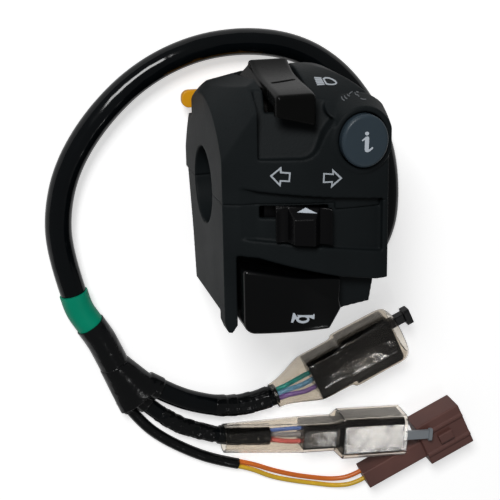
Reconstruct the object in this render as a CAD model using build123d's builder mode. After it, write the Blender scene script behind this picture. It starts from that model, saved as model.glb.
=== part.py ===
from build123d import *
import os
from math import cos, pi, radians, sin, tan

# Left-hand switch cluster for a 22.2 mm motorcycle handlebar, lying on its back.
# X runs along the bar, Y up as mounted, Z towards the rider. The origin is on the
# bar's axis at the middle of the housing. All lengths are in millimetres.

# Bar and bore
bar_diameter = 22.2
bar_clearance = 0.05
saddle_wall = 2.4

# Housing
housing_length = 45.0
upper_height = 34.4
lower_height = 32.4
back_depth = 24.5
front_depth = 32.6
front_end_depth = 32.0
strip_depth = 23.9
strip_front_depth = 28.0
strip_width = 9.0
case_wall = 2.2
overrun = 20.0
small_round = 0.5

# Fits
running_gap = 0.05
seat_gap = 0.1
free_gap = 0.35

# Upper case
pad_height = 6.0
back_arc_mid_shares = (0.545, 0.705)
back_arc_end_shares = (0.80, 0.33)
crest_depth = 4.0
brow_mid_shares = (0.885, 0.66)
brow_end_shares = (0.56, 1.05)
cone_radius = 26.6
cone_shares = ((0.0, 1.0), (0.065, 1.13), (0.21, 1.45), (0.33, 1.95))
shoulder_shares = ((0.0, 0.815), (0.05, 0.85), (0.24, 0.935), (0.31, 1.0), (0.60, 1.0))
corner_mid_shares = (0.87, 0.88)
corner_end_shares = (1.0, 0.62)
lip_shares = ((0.085, 0.142), (0.20, 0.113), (0.36, 0.09), (0.64, 0.052), (1.0, 0.012))

# Screws that hold the halves together, and the posts they go into
case_screw_radius = 1.5
case_screw_head_radius = 2.6
case_screw_head_height = 2.2
case_screw_seat = 9.0
case_screw_reach = 9.0
case_post_wall = 1.65
case_head_gap = 0.3
front_screw_z = 15.6
front_screw_left = 5.2
front_screw_right = 37.0
back_screw_z = 18.3
back_screw_left = 23.0
back_screw_right = 34.5
socket_share = 0.55

# Recess round the beam lever
recess_left_share = 0.205
recess_bottom = 12.6
recess_step = 1.3
recess_lean = 17.0
recess_turn = 11.0
recess_curve_shares = ((0.44, 1.0), (0.545, 1.17), (0.60, 1.57), (0.685, 1.95), (0.71, 2.4), (0.71, 3.0))

# Beam lever
lever_width = 11.2
lever_centre = 18.5
lever_pivot_y = 23.6
lever_pivot_z = 13.5
lever_hub_radius = 3.6
lever_ridge_y = 36.4
lever_ridge_z = 5.2
lever_dip_z = 20.5
lever_back_reach = 1.6
lever_lip_bottom = 20.5
lever_front_y = 30.6
lever_front_z = 33.2
lever_thickness = 3.4
lever_lip_thickness = 2.6
lever_top_shares = ((1.0, 0.0), (0.48, 0.28), (0.28, 0.55), (0.0, 1.0))
lever_lip_left_y = 25.1
lever_lip_right_y = 21.9
lever_round = 1.3
lever_flank_width = 2.6
lever_flank_height = 4.2
lever_flank_end = 21.0
lever_flank_tip = 0.3
lever_stem_width = 7.0
lever_stem_depth = 4.8
lever_groove_length = 7.5
lever_groove_width = 0.9
lever_groove_depth = 0.7
lever_pin_radius = 1.5
lever_window_gap = 0.6
lever_window_back = 0.6
lever_window_bottom = 24.4
ear_width = 1.6
ear_gap = 0.1
beam_base_floor = 14.0
beam_base_thickness = 1.8
beam_base_width = 15.2
beam_base_back = 3.8
beam_base_front = 20.0
beam_screw_z = 6.6
beam_screw_spread = 3.3
beam_screw_length = 5.0
small_screw_radius = 1.0
small_head_radius = 1.9
small_head_height = 1.3
small_post_radius = 2.3
detent_ball_radius = 1.4
detent_ball_gap = 0.06
detent_hole_gap = 0.05
detent_wire = 0.4
detent_turns = 4

# Info button
info_x = 37.2
info_y = 17.3
info_half_width = 6.6
info_half_height = 7.3
info_gap = 0.35
info_front_z = 35.2
info_skirt_z = 26.5
info_skin = 1.6
info_round = 1.0
info_stem_radius = 2.4
info_stem_z = 22.7
info_collar_wall = 1.5
info_collar_z = 33.2
info_collar_flare = 2.6
info_collar_drop = 8.0
info_tube_z = 24.5
info_side_reach = 0.3
info_switch_size = 7.6
info_switch_height = 4.0
info_plunger_radius = 1.7
info_plunger_height = 0.8
info_plate_thickness = 2.0
info_plate_z = 14.0
info_post_x = 30.2
info_post_spread = 8.2
info_post_radius = 2.3
info_plate_left = 27.8
info_plate_step = 32.6
info_plate_right = 41.0
info_plate_half = 5.8
info_spring_radius = 3.6
info_spring_turns = 6
spring_wire = 0.5

# Tongue of the upper case that shows in the slot's floor
tab_drop = 2.0
tab_left = 30.0
tab_right = 43.0

# Slot, turn knob and slider
slot_depth = 2.0
slot_strip_fill = 1.7
slot_shares = ((0.105, 0.30), (0.31, 0.325), (0.56, 0.372), (0.962, 0.455))
slot_right_share = 0.962
turn_x = 20.2
turn_z = 21.8
turn_angle = 10.5
window_half_length = 9.4
window_top = 0.55
window_height = 3.6
pocket_left = 7.3
pocket_right = 33.6
pocket_bottom = 12.2
pocket_back = 12.0
guard_height = 6.5
slider_half_length = 8.0
slider_top = 0.15
slider_bottom = 10.0
slider_front = 4.0
slider_back = 2.0
slider_floor = 1.0
tongue_top = 6.2
tongue_height = 1.8
tongue_depth = 1.2
stem_half_length = 4.1
stem_height = 3.0
stem_engagement = 2.8
knob_travel = 1.0
knob_left = 5.3
knob_right = 10.1
knob_bottom_left = 9.9
knob_bottom_right = 11.2
knob_top_left = 0.3
knob_top_right = 0.9
knob_base = 8.85
knob_wing = 2.0
knob_scoop = 1.0
knob_block_height = 3.9
knob_block_half = 2.8
knob_foot_half = 4.4
knob_top_slope = 2.9
turn_base_left = 10.4
turn_base_right = 12.8
turn_base_thickness = 2.0
turn_post_radius = 1.5
turn_post_left = 6.0
turn_post_right = 9.0
turn_post_y = 9.0
turn_ball_radius = 1.0
turn_ball_hole = 4.4
turn_ball_gap = 0.25
turn_rail_gap = 0.3
knob_spring_radius = 0.9
contact_width = 1.6
contact_thickness = 0.5
contact_length = 3.0
contact_pitch = 5.0

# Lower case below the slot
ledge_shares = ((0.0, 0.442), (0.20, 0.462), (0.39, 0.54), (0.69, 0.648), (0.93, 0.70), (1.0, 0.70))
lower_back_depth = 21.6
lower_back_share = 0.55
lower_back_knee = 16.6
lower_back_end = 13.9
rim_width = 3.4
horn_well_z = 19.5
horn_well_right = 31.9
tail_front_z = 27.6
tail_side_shares = ((1.0, 0.0), (1.0, 0.70), (0.945, 0.70), (0.915, 0.945), (0.725, 0.985), (0.725, 1.0))
foot_drop = 5.0
foot_width = 3.6
foot_depth = 6.0
foot_shares = ((0.0, 0.0), (0.0, 0.48), (0.25, 0.96), (0.55, 1.0), (1.0, 0.44), (1.0, 0.0))
lower_cavity_back = 12.0
lower_cavity_bottom = 30.2
lower_cavity_right = 38.8
cavity_step = 20.4
channel_depth = 14.8
channel_wall = 3.0
rest_left = 6.0
rest_right = 39.0
rest_bottom = 14.5
gland_notch_right = 19.5
gland_seat = 5.0
chamber_left = 21.7

# Horn button
horn_left = 3.9
horn_right = 31.5
horn_top = 16.9
horn_shares = ((0.0, 0.0), (0.587, 0.17), (1.0, 0.26), (0.967, 0.547), (0.989, 0.70), (0.862, 1.0), (0.0, 1.0))
horn_bottom = 35.7
horn_front_left = 31.0
horn_front_middle = 33.7
horn_front_right = 33.1
horn_corner = 3.0
horn_edge = 1.0
horn_skin = 2.2
horn_travel = 2.0
horn_back_gap = 0.3
horn_facet_drop = 2.1
horn_stem_x = 17.0
horn_stem_y = 26.0
horn_stem_radius = 2.6
horn_stem_z = 13.5
horn_base_z = 8.0
horn_base_thickness = 2.0
horn_base_half = 8.5
horn_base_height = 7.6
horn_contact_radius = 2.0
horn_contact_height = 1.0
horn_post_radius = 2.3
horn_post_spread = 6.4
horn_screw_length = 5.0
horn_clip_radius = 3.8
horn_clip_thickness = 0.8
horn_spring_radius = 3.5
horn_spring_turns = 5

# Passing trigger on the back
trigger_tip = 2.0
trigger_corner = 2.2
trigger_pivot_x = 22.0
trigger_pivot_z = 14.6
trigger_y = 21.7
trigger_height = 5.2
trigger_inner_z = 17.6
trigger_thickness = 2.8
trigger_hub_radius = 3.0
trigger_pin_radius = 1.1
trigger_gap = 0.1
trigger_ear = 2.0
trigger_travel = 6.5
trigger_recess_z = 13.9
trigger_recess_end = 26.0
trigger_hub_recess_z = 11.2
trigger_hub_recess_x = 18.6
trigger_recess_gap = 1.5
trigger_finger_x = 8.0
trigger_finger_radius = 1.3
trigger_finger_z = 9.6
trigger_hole_radius = 2.0
trigger_spring_radius = 1.7
trigger_spring_length = 1.8
trigger_spring_pocket = 2.25
pass_switch_width = 7.0
pass_switch_height = 5.6
pass_switch_depth = 3.6
pass_switch_gap = 0.4

# Harness
gland_x = 10.0
gland_radius = 4.7
gland_length = 4.0
gland_spigot_radius = 2.4
gland_spigot_length = 4.5
sleeve_diameter = 8.0
band_diameter = 8.8
tape_diameter = 9.4
branch_a_diameter = 6.8
branch_b_diameter = 5.2
branch_c_diameter = 3.6
wire_diameter = 1.6
corner_share = 0.45

# Routes of the cords, from where each leaves to where it ends
trunk_route = [
    (-12.5, -9.0, -19.8), (-12.5, -23.1, -19.8), (-5.56, -35.37, -20.3), (6.53, -42.63, -20.5), (20.62, -43.0, -20.5),
    (33.07, -36.38, -20.5), (40.65, -24.49, -20.5), (41.5, -10.4, -20.5), (39.4, 3.0, -20.5), (33.6, 15.6, -20.5),
    (24.4, 27.2, -20.5), (12.0, 35.0, -20.5), (-3.6, 38.0, -20.5), (-20.5, 36.3, -20.5), (-36.5, 29.2, -20.5),
    (-49.8, 17.3, -20.5), (-59.3, 3.2, -20.5), (-63.2, -11.5, -20.5), (-62.6, -24.5, -20.5), (-59.6, -36.2, -20.5),
]
band_route = [(-59.6, -36.2, -20.1), (-58.21, -41.62, -20.1), (-55.1, -46.8, -20.1)]
tape_route = [(-55.1, -46.8, -19.8), (-51.99, -51.98, -19.8), (-48.4, -60.5, -19.8)]
branch_a_route = [
    (-34.2, -71.3, -21.1), (-28.8, -74.8, -21.1), (-21.8, -77.8, -21.1), (-14.0, -80.0, -21.1), (-4.6, -80.5, -21.1),
    (4.6, -78.04, -21.1),
]
branch_b_route = [
    (-38.2, -76.5, -21.9), (-33.6, -81.1, -21.9), (-27.1, -85.6, -21.9), (-19.3, -89.0, -21.5), (-10.5, -90.89, -20.7),
    (-0.9, -91.8, -20.7),
]
branch_c_route = [
    (-43.5, -78.0, -22.7), (-39.6, -83.7, -22.7), (-33.2, -89.6, -22.7), (-24.6, -95.3, -22.7),
    (-16.2, -99.6, -22.7), (-8.6, -102.1, -22.7),
]
wire_routes = {
    "wire_a_1": [(4.16, -76.4, -21.1), (7.54, -75.49, -21.1), (11.75, -72.5, -19.2), (14.96, -71.1, -19.2)],
    "wire_a_2": [(4.6, -78.04, -21.1), (7.98, -77.13, -21.1), (12.83, -75.0, -19.2), (16.04, -73.6, -19.2)],
    "wire_a_3": [(5.04, -79.68, -21.1), (8.42, -78.77, -21.1), (13.91, -77.5, -19.2), (17.12, -76.1, -19.2)],
    "wire_b_1": [(-0.74, -90.11, -20.7), (2.74, -90.44, -20.7), (8.64, -90.09, -19.6), (12.13, -90.33, -19.6)],
    "wire_b_2": [(-0.9, -91.8, -20.7), (2.58, -92.13, -20.7), (8.47, -92.48, -19.6), (11.96, -92.72, -19.6)],
    "wire_b_3": [(-1.06, -93.49, -20.7), (2.42, -93.82, -20.7), (8.3, -94.87, -19.6), (11.79, -95.11, -19.6)],
    "wire_c_yellow": [
        (-8.87, -102.91, -22.7), (-4.12, -104.47, -22.7), (2.6, -108.8, -23.5), (10.6, -111.6, -23.6),
        (18.6, -113.8, -23.6), (25.2, -115.4, -23.2), (31.28, -114.9, -21.6), (35.12, -113.2, -21.6),
    ],
    "wire_c_orange": [
        (-8.33, -101.29, -22.7), (-3.58, -102.85, -22.7), (3.4, -106.6, -23.5), (11.2, -109.6, -23.6),
        (18.4, -111.6, -23.6), (24.4, -112.8, -23.2), (29.98, -112.0, -21.6), (33.82, -110.3, -21.6),
    ],
}

# Branch-out of the harness, taped over
breakout_x = -40.3
breakout_y = -73.2
breakout_heading = -55.0
breakout_half_width = 8.0
breakout_half_height = 4.5
breakout_root_radius = 4.9
breakout_wrap = 0.5
breakout_stub = 5.0

# Connector A, in a clear sheath
conn_a_x = 35.7
conn_a_y = -63.6
conn_a_angle = 23.5
conn_a_length = 20.4
conn_a_width = 18.6
conn_a_height = 13.0
conn_a_round = 3.6
conn_a_rear_length = 11.8
conn_a_rear_width = 14.6
conn_a_rear_height = 11.0
conn_a_rear_round = 1.6
sheath_wall = 0.8
sheath_gap = 0.2
conn_a_socket_depth = 9.0
conn_a_socket_wall = 1.6
latch_width = 3.0
latch_offset = 4.7
latch_rise = 1.6
latch_height = 3.2
latch_reach = 5.4
latch_hook = 2.2

# Connector B, in a long clear sheath
conn_b_x = 36.0
conn_b_y = -94.4
conn_b_angle = -4.0
conn_b_length = 21.8
conn_b_width = 14.5
conn_b_height = 12.6
conn_b_round = 2.6
conn_b_rear_length = 13.2
conn_b_rear_width = 8.4
conn_b_rear_height = 8.4
conn_b_rear_round = 1.2
conn_b_taper = 2.4
neck_length = 26.0
neck_width = 9.2
neck_round = 4.2
tab_length = 10.0
tab_width = 3.0
tab_thickness = 1.2
tab_z = 11.0

# Connector C, bare
conn_c_x = 61.6
conn_c_y = -97.7
conn_c_angle = 24.0
conn_c_length = 16.4
conn_c_width = 15.6
conn_c_height = 9.6
conn_c_rear_length = 22.3
conn_c_rear_width = 6.6
conn_c_rear_offset = 1.8
conn_c_rear_height = 8.0
conn_c_socket_depth = 9.0
conn_c_socket_wall = 1.5
conn_c_rib_width = 1.2
conn_c_rib_height = 0.6
lock_length = 5.0
lock_width = 3.4
lock_height = 1.6

bore_radius = bar_diameter / 2 + bar_clearance
saddle_radius = bore_radius + saddle_wall
left = -housing_length / 2
right = housing_length / 2
case_post_radius = case_screw_radius + case_post_wall
case_screw_places = (
    (front_screw_left, front_screw_z),
    (front_screw_right, front_screw_z),
    (back_screw_left, -back_screw_z),
    (back_screw_right, -back_screw_z),
)
gland_z = gland_radius - back_depth
gland_y = -gland_seat
rest_y = -rest_bottom
turn_direction = (cos(radians(turn_angle)), 0, sin(radians(turn_angle)))
turn_normal = (-sin(radians(turn_angle)), 0, cos(radians(turn_angle)))


def along(from_left):
    """X of a place measured from the left face."""
    return from_left + left


def share_x(share):
    return left + share * housing_length


def plan_form(setback, grow, strip_setback):
    """Everything behind the front, seen from above: flat strip, then a barrel."""
    middle = (strip_width + housing_length) / 2
    start = (along(strip_width), strip_front_depth - setback)
    bulge = (along(middle), front_depth - setback)
    end = (right, front_end_depth - setback)
    corner = (left, strip_depth - strip_setback)
    with BuildPart() as form:
        with BuildSketch(Plane.XZ):
            with BuildLine():
                Polyline(end, (right, -back_depth), (left, -back_depth), corner, start)
                ThreePointArc(start, bulge, end)
            make_face()
            if grow:
                offset(amount=grow, kind=Kind.INTERSECTION)
        extrude(amount=upper_height + lower_height, both=True)
    return form.part


def block(x_range, y_range, z_range):
    """A plain block given by its limits, X from the left face."""
    with BuildPart() as form:
        with BuildSketch(Plane.XY.offset(z_range[0])):
            with Locations((along((x_range[0] + x_range[1]) / 2), (y_range[0] + y_range[1]) / 2)):
                Rectangle(x_range[1] - x_range[0], y_range[1] - y_range[0])
        extrude(amount=z_range[1] - z_range[0])
    return form.part


def rod(radius, start, direction, length):
    """A round rod from its start, X from the left face."""
    with BuildPart() as form:
        with BuildSketch(Plane(origin=(along(start[0]), start[1], start[2]), z_dir=direction)):
            Circle(radius)
        extrude(amount=length)
    return form.part


def coil(radius, wire, length, turns, start, direction):
    """A coil spring whose wire lies wholly between its start and its length."""
    middle = Vector(along(start[0]), start[1], start[2]) + Vector(*direction) * (wire / 2)
    with BuildPart() as form:
        with BuildLine() as path:
            Helix(pitch=(length - wire) / turns, height=length - wire, radius=radius,
                  center=middle, direction=direction)
        with BuildSketch(Plane(origin=path.line @ 0, z_dir=path.line % 0)):
            Circle(wire / 2)
        sweep(path=path.line, is_frenet=True)
    return form.part


def upper_side_form(inset):
    """The upper case seen along the bar."""
    pad = (pad_height, -back_depth)
    back_mid = (upper_height * back_arc_mid_shares[0], -back_depth * back_arc_mid_shares[1])
    back_end = (upper_height * back_arc_end_shares[0], -back_depth * back_arc_end_shares[1])
    crest = (upper_height, crest_depth)
    brow_mid = (upper_height * brow_mid_shares[0], front_depth * brow_mid_shares[1])
    brow_end = (upper_height * brow_end_shares[0], front_depth * brow_end_shares[1])
    with BuildPart() as form:
        with BuildSketch(Plane.YZ):
            with BuildLine():
                Polyline(brow_end, (-inset, brow_end[1]), (-inset, -back_depth), pad)
                ThreePointArc(pad, back_mid, back_end)
                Line(back_end, crest)
                ThreePointArc(crest, brow_mid, brow_end)
            make_face()
            if inset:
                offset(amount=-inset, kind=Kind.INTERSECTION)
        extrude(amount=housing_length, both=True)
    return form.part


def upper_front_form(inset):
    """The upper case seen from the rider."""
    points = [(share_x(x), upper_height * y) for x, y in shoulder_shares]
    corner_mid = (share_x(corner_mid_shares[0]), upper_height * corner_mid_shares[1])
    corner_end = (share_x(corner_end_shares[0]), upper_height * corner_end_shares[1])
    with BuildPart() as form:
        with BuildSketch(Plane.XY):
            with BuildLine():
                Polyline(corner_end, (right, -inset), (left, -inset), *points)
                ThreePointArc(points[-1], corner_mid, corner_end)
            make_face()
            if inset:
                offset(amount=-inset, kind=Kind.INTERSECTION)
        extrude(amount=back_depth + front_depth, both=True)
    return form.part


def upper_cone_form(inset):
    """The round left end of the upper case, which widens away from the grip."""
    points = [(left + x * housing_length, cone_radius * r - inset) for x, r in cone_shares]
    with BuildPart() as form:
        with BuildSketch(Plane.XY):
            with BuildLine():
                Polyline((left, 0), *points, (right, points[-1][1]), (right, 0), close=True)
            make_face()
        revolve(axis=Axis.X)
    return form.part


def upper_form(inset):
    plan = plan_form(0, -inset, 0)
    side = upper_side_form(inset)
    front = upper_front_form(inset)
    cone = upper_cone_form(inset)
    with BuildPart() as form:
        add(side)
        add(front, mode=Mode.INTERSECT)
        add(plan, mode=Mode.INTERSECT)
        add(cone, mode=Mode.INTERSECT)
    return form.part


def recess_form(grow):
    """What the shallow recess round the beam lever takes out."""
    curve = [(share_x(x) + grow, recess_bottom * y - grow) for x, y in recess_curve_shares]
    far_top = upper_height + overrun
    corner = (share_x(recess_left_share) - grow, recess_bottom - grow)
    floor_plane = Plane(
        origin=(share_x(recess_left_share), recess_bottom, strip_front_depth - recess_step),
        x_dir=(cos(radians(recess_turn)), 0, sin(radians(recess_turn))),
        z_dir=(-sin(radians(recess_turn)), 0, cos(radians(recess_turn))),
    ).rotated((-recess_lean, 0, 0))
    with BuildPart() as form:
        with BuildSketch(Plane.XY):
            with BuildLine():
                Polyline(curve[-1], (curve[-1][0], far_top), (corner[0], far_top), corner, curve[0])
                if grow:
                    Polyline(*curve)
                else:
                    Spline(*curve)
            make_face()
        extrude(amount=front_depth + overrun)
        with BuildSketch(floor_plane.offset(-grow)):
            Rectangle(housing_length * 2, upper_height * 4)
        extrude(amount=front_depth + overrun, mode=Mode.INTERSECT)
    return form.part


def slot_form(floor):
    """What the slot takes out of the front, in both halves."""
    lip = [(share_x(x), upper_height * y) for x, y in lip_shares if x < slot_right_share]
    lower_edge = [(share_x(x), -lower_height * y) for x, y in slot_shares]
    lip_end = (share_x(slot_right_share), upper_height * lip_shares[-1][1])
    with BuildPart() as form:
        with BuildSketch(Plane.XY):
            with BuildLine():
                Polyline(*lip, lip_end, *reversed(lower_edge), close=True)
            make_face()
        extrude(amount=front_depth + overrun)
        add(floor, mode=Mode.SUBTRACT)
    return form.part


def lower_form():
    """The lower case as a solid, down to its foot."""
    plan = plan_form(0, 0, 0)
    knee = (-lower_height * lower_back_share, -lower_back_knee)
    outline = [(share_x(x), -lower_height * y) for x, y in tail_side_shares]
    foot = [(left + foot_width * x, -lower_height - foot_drop * y) for x, y in foot_shares]
    with BuildPart() as form:
        with BuildSketch(Plane.YZ):
            with BuildLine():
                Polyline((0, -lower_back_depth), knee, (-lower_height, -lower_back_end),
                         (-lower_height, front_depth), (0, front_depth), close=True)
            make_face()
        extrude(amount=housing_length, both=True)
        with BuildSketch(Plane.XY):
            with BuildLine():
                Polyline((left, 0), *outline, (left, -lower_height), close=True)
            make_face()
        extrude(amount=back_depth + front_depth, both=True, mode=Mode.INTERSECT)
        with BuildSketch(Plane.XY.offset(strip_depth - foot_depth)):
            with BuildLine():
                Polyline(*foot, close=True)
            make_face()
        extrude(amount=foot_depth + strip_width)
        add(plan, mode=Mode.INTERSECT)
    return form.part


def below_ledge(x_range, z):
    """What lies in front of a depth, below the ledge line, between two places."""
    ledge = [(share_x(x), -lower_height * y) for x, y in ledge_shares]
    far = (right, -lower_height - overrun)
    strip = block(x_range, (-lower_height - overrun, 0), (z, front_depth + overrun))
    with BuildPart() as form:
        with BuildSketch(Plane.XY.offset(z)):
            with BuildLine():
                Polyline(*ledge, far, (left, far[1]), close=True)
            make_face()
        extrude(amount=front_depth + overrun)
        add(strip, mode=Mode.INTERSECT)
    return form.part


def turned(u_range, y_range, w_range):
    """A block in the turn switch's own plane, which follows the front."""
    with BuildPart() as form:
        with BuildSketch(turn_plane.offset(w_range[0])):
            with Locations(((u_range[0] + u_range[1]) / 2, (y_range[0] + y_range[1]) / 2)):
                Rectangle(u_range[1] - u_range[0], y_range[1] - y_range[0])
        extrude(amount=w_range[1] - w_range[0])
    return form.part


def info_oval(grow, z_range):
    """An upright oval bar on the info button's axis."""
    with BuildPart() as form:
        with BuildSketch(Plane.XY.offset(z_range[0])):
            with Locations((along(info_x), info_y)):
                Ellipse(info_half_width + grow, info_half_height + grow)
        extrude(amount=z_range[1] - z_range[0])
    return form.part


# Cases
turn_plane = Plane(origin=(along(turn_x), 0, turn_z), x_dir=turn_direction, z_dir=turn_normal)
window_y = -window_top - window_height / 2
far_front = front_depth + overrun
floor = plan_form(slot_depth, 0, -slot_strip_fill)
floor_back = plan_form(slot_depth + case_wall, 0, 0)
slot = slot_form(floor)
recess = recess_form(0)
recess_back = recess_form(case_wall)
bore = rod(bore_radius, (-overrun, 0, 0), (1, 0, 0), housing_length + 2 * overrun)
saddle = rod(saddle_radius, (0, 0, 0), (1, 0, 0), housing_length)
above = block((-overrun, housing_length + overrun), (0, upper_height + overrun), (-far_front, far_front))
below = block((-overrun, housing_length + overrun), (-lower_height - overrun, 0), (-far_front, far_front))
tab = block((tab_left, tab_right), (-tab_drop, 0), (turn_z, far_front))

upper_outer = upper_form(0)
upper_inner = upper_form(case_wall)
trigger_low = trigger_y - trigger_height / 2 - trigger_recess_gap
trigger_high = trigger_y + trigger_height / 2 + trigger_recess_gap
trigger_cuts = (
    block((-overrun, trigger_hub_recess_x), (trigger_low, trigger_high), (-far_front, -trigger_recess_z)),
    block((trigger_hub_recess_x, trigger_recess_end), (trigger_low, trigger_high),
          (-far_front, -trigger_hub_recess_z)),
)
trigger_guard = block(
    (-overrun, trigger_recess_end + case_wall),
    (trigger_low - case_wall, trigger_high + case_wall),
    (-far_front, case_wall - trigger_hub_recess_z),
)
guard_block = block((-overrun, housing_length + overrun), (-overrun, guard_height), (0, far_front))
collar_clip = block((0, housing_length + info_side_reach), (0, upper_height), (0, far_front))
collar_tube = info_oval(info_gap + info_collar_wall, (info_tube_z, info_collar_z))
info_hole = info_oval(info_gap, (info_tube_z - overrun, far_front))
lever_half_window = lever_width / 2 + lever_window_gap
ear_y = trigger_height / 2 + trigger_gap
ear_root = -trigger_hub_recess_z + case_wall / 2
ears = []
for side in (-1, 1):
    start = trigger_y + side * ear_y
    reach = sorted((start, start + side * trigger_ear))
    ears.append(rod(trigger_hub_radius, (trigger_pivot_x, reach[0], -trigger_pivot_z), (0, 1, 0), trigger_ear))
    ears.append(block((trigger_pivot_x - trigger_hub_radius, trigger_pivot_x + trigger_hub_radius),
                      reach, (-trigger_pivot_z, ear_root)))
pin_start = trigger_y - ear_y - trigger_ear
pin_length = 2 * (ear_y + trigger_ear)
trigger_pin_hole = rod(trigger_pin_radius + running_gap, (trigger_pivot_x, pin_start - overrun / 2, -trigger_pivot_z),
                       (0, 1, 0), pin_length + overrun / 2)
finger_hole = rod(trigger_hole_radius, (trigger_finger_x, trigger_y, -far_front), (0, 0, 1),
                  far_front - trigger_hub_recess_z + case_wall + overrun / 4)
upper_posts = []
upper_holes = []
for x, z in case_screw_places:
    upper_posts.append(rod(case_post_radius, (x, 0, z), (0, 1, 0), case_screw_reach + case_post_wall))
    upper_holes.append(rod(case_screw_radius + running_gap, (x, -overrun, z), (0, 1, 0),
                           overrun + case_screw_reach + seat_gap))
beam_screw_xs = (lever_centre - beam_screw_spread, lever_centre + beam_screw_spread)
beam_screw_bottom = beam_base_floor + beam_base_thickness - beam_screw_length
for x in beam_screw_xs:
    upper_posts.append(rod(small_post_radius, (x, bore_radius / 2, beam_screw_z), (0, 1, 0),
                           beam_base_floor - bore_radius / 2))
    upper_holes.append(rod(small_screw_radius + running_gap, (x, beam_screw_bottom - seat_gap, beam_screw_z),
                           (0, 1, 0), beam_screw_length))
info_post_ys = (info_y - info_post_spread, info_y + info_post_spread)
info_plate_front = info_plate_z + info_plate_thickness
for y in info_post_ys:
    upper_posts.append(rod(info_post_radius, (info_post_x, y, info_plate_front), (0, 0, 1),
                           front_depth - info_plate_front))
    upper_holes.append(rod(small_screw_radius + running_gap, (info_post_x, y, info_plate_z), (0, 0, 1),
                           beam_screw_length + seat_gap))
pass_switch_front = -trigger_finger_z + pass_switch_gap + (trigger_pivot_x - trigger_finger_x) * sin(
    radians(trigger_travel))
pass_wall_z = pass_switch_front + pass_switch_depth
upper_posts.append(block(
    (trigger_finger_x - pass_switch_width / 2, trigger_finger_x + pass_switch_width / 2),
    (bore_radius, trigger_y + pass_switch_height / 2),
    (pass_wall_z, pass_wall_z + case_wall),
))

window_left = along(lever_centre - lever_half_window)
window_right = along(lever_centre + lever_half_window)
window_flare_z = lever_flank_end + lever_window_gap
with BuildPart() as lever_window:
    with BuildSketch(Plane.XZ.offset(-lever_window_bottom)):
        with BuildLine():
            Polyline((window_left - lever_flank_width, lever_window_back), (window_right, lever_window_back),
                     (window_right, far_front), (window_left, far_front), (window_left, window_flare_z), close=True)
        make_face()
    extrude(amount=-upper_height - overrun)

with BuildPart() as slot_guard:
    add(guard_block)
    add(floor_back, mode=Mode.SUBTRACT)

with BuildPart() as upper_cavity:
    add(upper_inner)
    add(recess_back, mode=Mode.SUBTRACT)
    add(slot_guard.part, mode=Mode.SUBTRACT)
    add(trigger_guard, mode=Mode.SUBTRACT)

with BuildPart() as collar:
    with BuildSketch(Plane.XY.offset(info_collar_z - info_collar_drop)) as collar_base:
        with Locations((along(info_x), info_y)):
            collar_grow = info_gap + info_collar_wall + info_collar_flare
            Ellipse(info_half_width + collar_grow, info_half_height + collar_grow)
    with BuildSketch(Plane.XY.offset(info_collar_z)) as collar_top:
        with Locations((along(info_x), info_y)):
            Ellipse(info_half_width + info_gap + info_collar_wall, info_half_height + info_gap + info_collar_wall)
    loft()
    add(collar_clip, mode=Mode.INTERSECT)

with BuildPart() as upper_envelope:
    add(upper_outer)
    add(collar.part)

with BuildPart() as upper_fittings:
    add(saddle)
    for post in upper_posts:
        add(post)
    add(collar_tube)
    add(above, mode=Mode.INTERSECT)
    add(upper_envelope.part, mode=Mode.INTERSECT)

with BuildPart() as upper_tab:
    add(tab)
    add(floor, mode=Mode.INTERSECT)
    add(floor_back, mode=Mode.SUBTRACT)

with BuildPart() as upper_case:
    add(upper_envelope.part)
    add(upper_cavity.part, mode=Mode.SUBTRACT)
    add(recess, mode=Mode.SUBTRACT)
    for cut in trigger_cuts:
        add(cut, mode=Mode.SUBTRACT)
    add(slot, mode=Mode.SUBTRACT)
    add(upper_fittings.part)
    for ear in ears:
        add(ear)
    add(upper_tab.part)
    add(bore, mode=Mode.SUBTRACT)
    add(lever_window.part, mode=Mode.SUBTRACT)
    add(info_hole, mode=Mode.SUBTRACT)
    add(trigger_pin_hole, mode=Mode.SUBTRACT)
    add(finger_hole, mode=Mode.SUBTRACT)
    for hole in upper_holes:
        add(hole, mode=Mode.SUBTRACT)
upper_case.part.label = "upper_case"

lower_outer = lower_form()
well = below_ledge((rim_width, horn_well_right), horn_well_z)
tail_cut = below_ledge((horn_well_right, housing_length + overrun), tail_front_z)
rest_block = block((rest_left, rest_right), (rest_y, 0), (-back_depth, -lower_cavity_back))
channel = block((channel_wall, housing_length + overrun), (-lower_height - overrun, rest_y),
                (-far_front, -channel_depth))
gland_notch = block((channel_wall, gland_notch_right), (-lower_height - overrun, gland_y),
                    (-far_front, -channel_depth))
well_back = horn_well_z - case_wall
lower_hollows = (
    block((case_wall, housing_length - case_wall), (-cavity_step, overrun), (-lower_cavity_back, well_back)),
    block((case_wall, lower_cavity_right), (-lower_cavity_bottom, 0), (-lower_cavity_back, well_back)),
    block((chamber_left, rest_right - case_wall), (rest_y + case_wall, overrun),
          (case_wall - back_depth, -lower_cavity_back)),
)
pocket_block = block((pocket_left, pocket_right), (-pocket_bottom, overrun), (pocket_back, far_front))
head_channel_radius = case_screw_head_radius + case_head_gap
channel_start = case_screw_seat - case_post_wall
lower_posts = [saddle]
lower_holes = []
for x, z in case_screw_places:
    lower_posts.append(rod(case_post_radius, (x, -case_screw_seat, z), (0, 1, 0), case_screw_seat))
    lower_posts.append(rod(head_channel_radius + case_post_wall / 2, (x, -lower_height, z), (0, 1, 0),
                           lower_height - channel_start))
    lower_holes.append(rod(case_screw_radius + seat_gap, (x, -case_screw_seat - seat_gap, z), (0, 1, 0),
                           case_screw_seat + overrun))
    lower_holes.append(rod(head_channel_radius, (x, -lower_height - overrun, z), (0, 1, 0),
                           lower_height + overrun - case_screw_seat))
horn_post_xs = (horn_stem_x - horn_post_spread, horn_stem_x + horn_post_spread)
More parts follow.
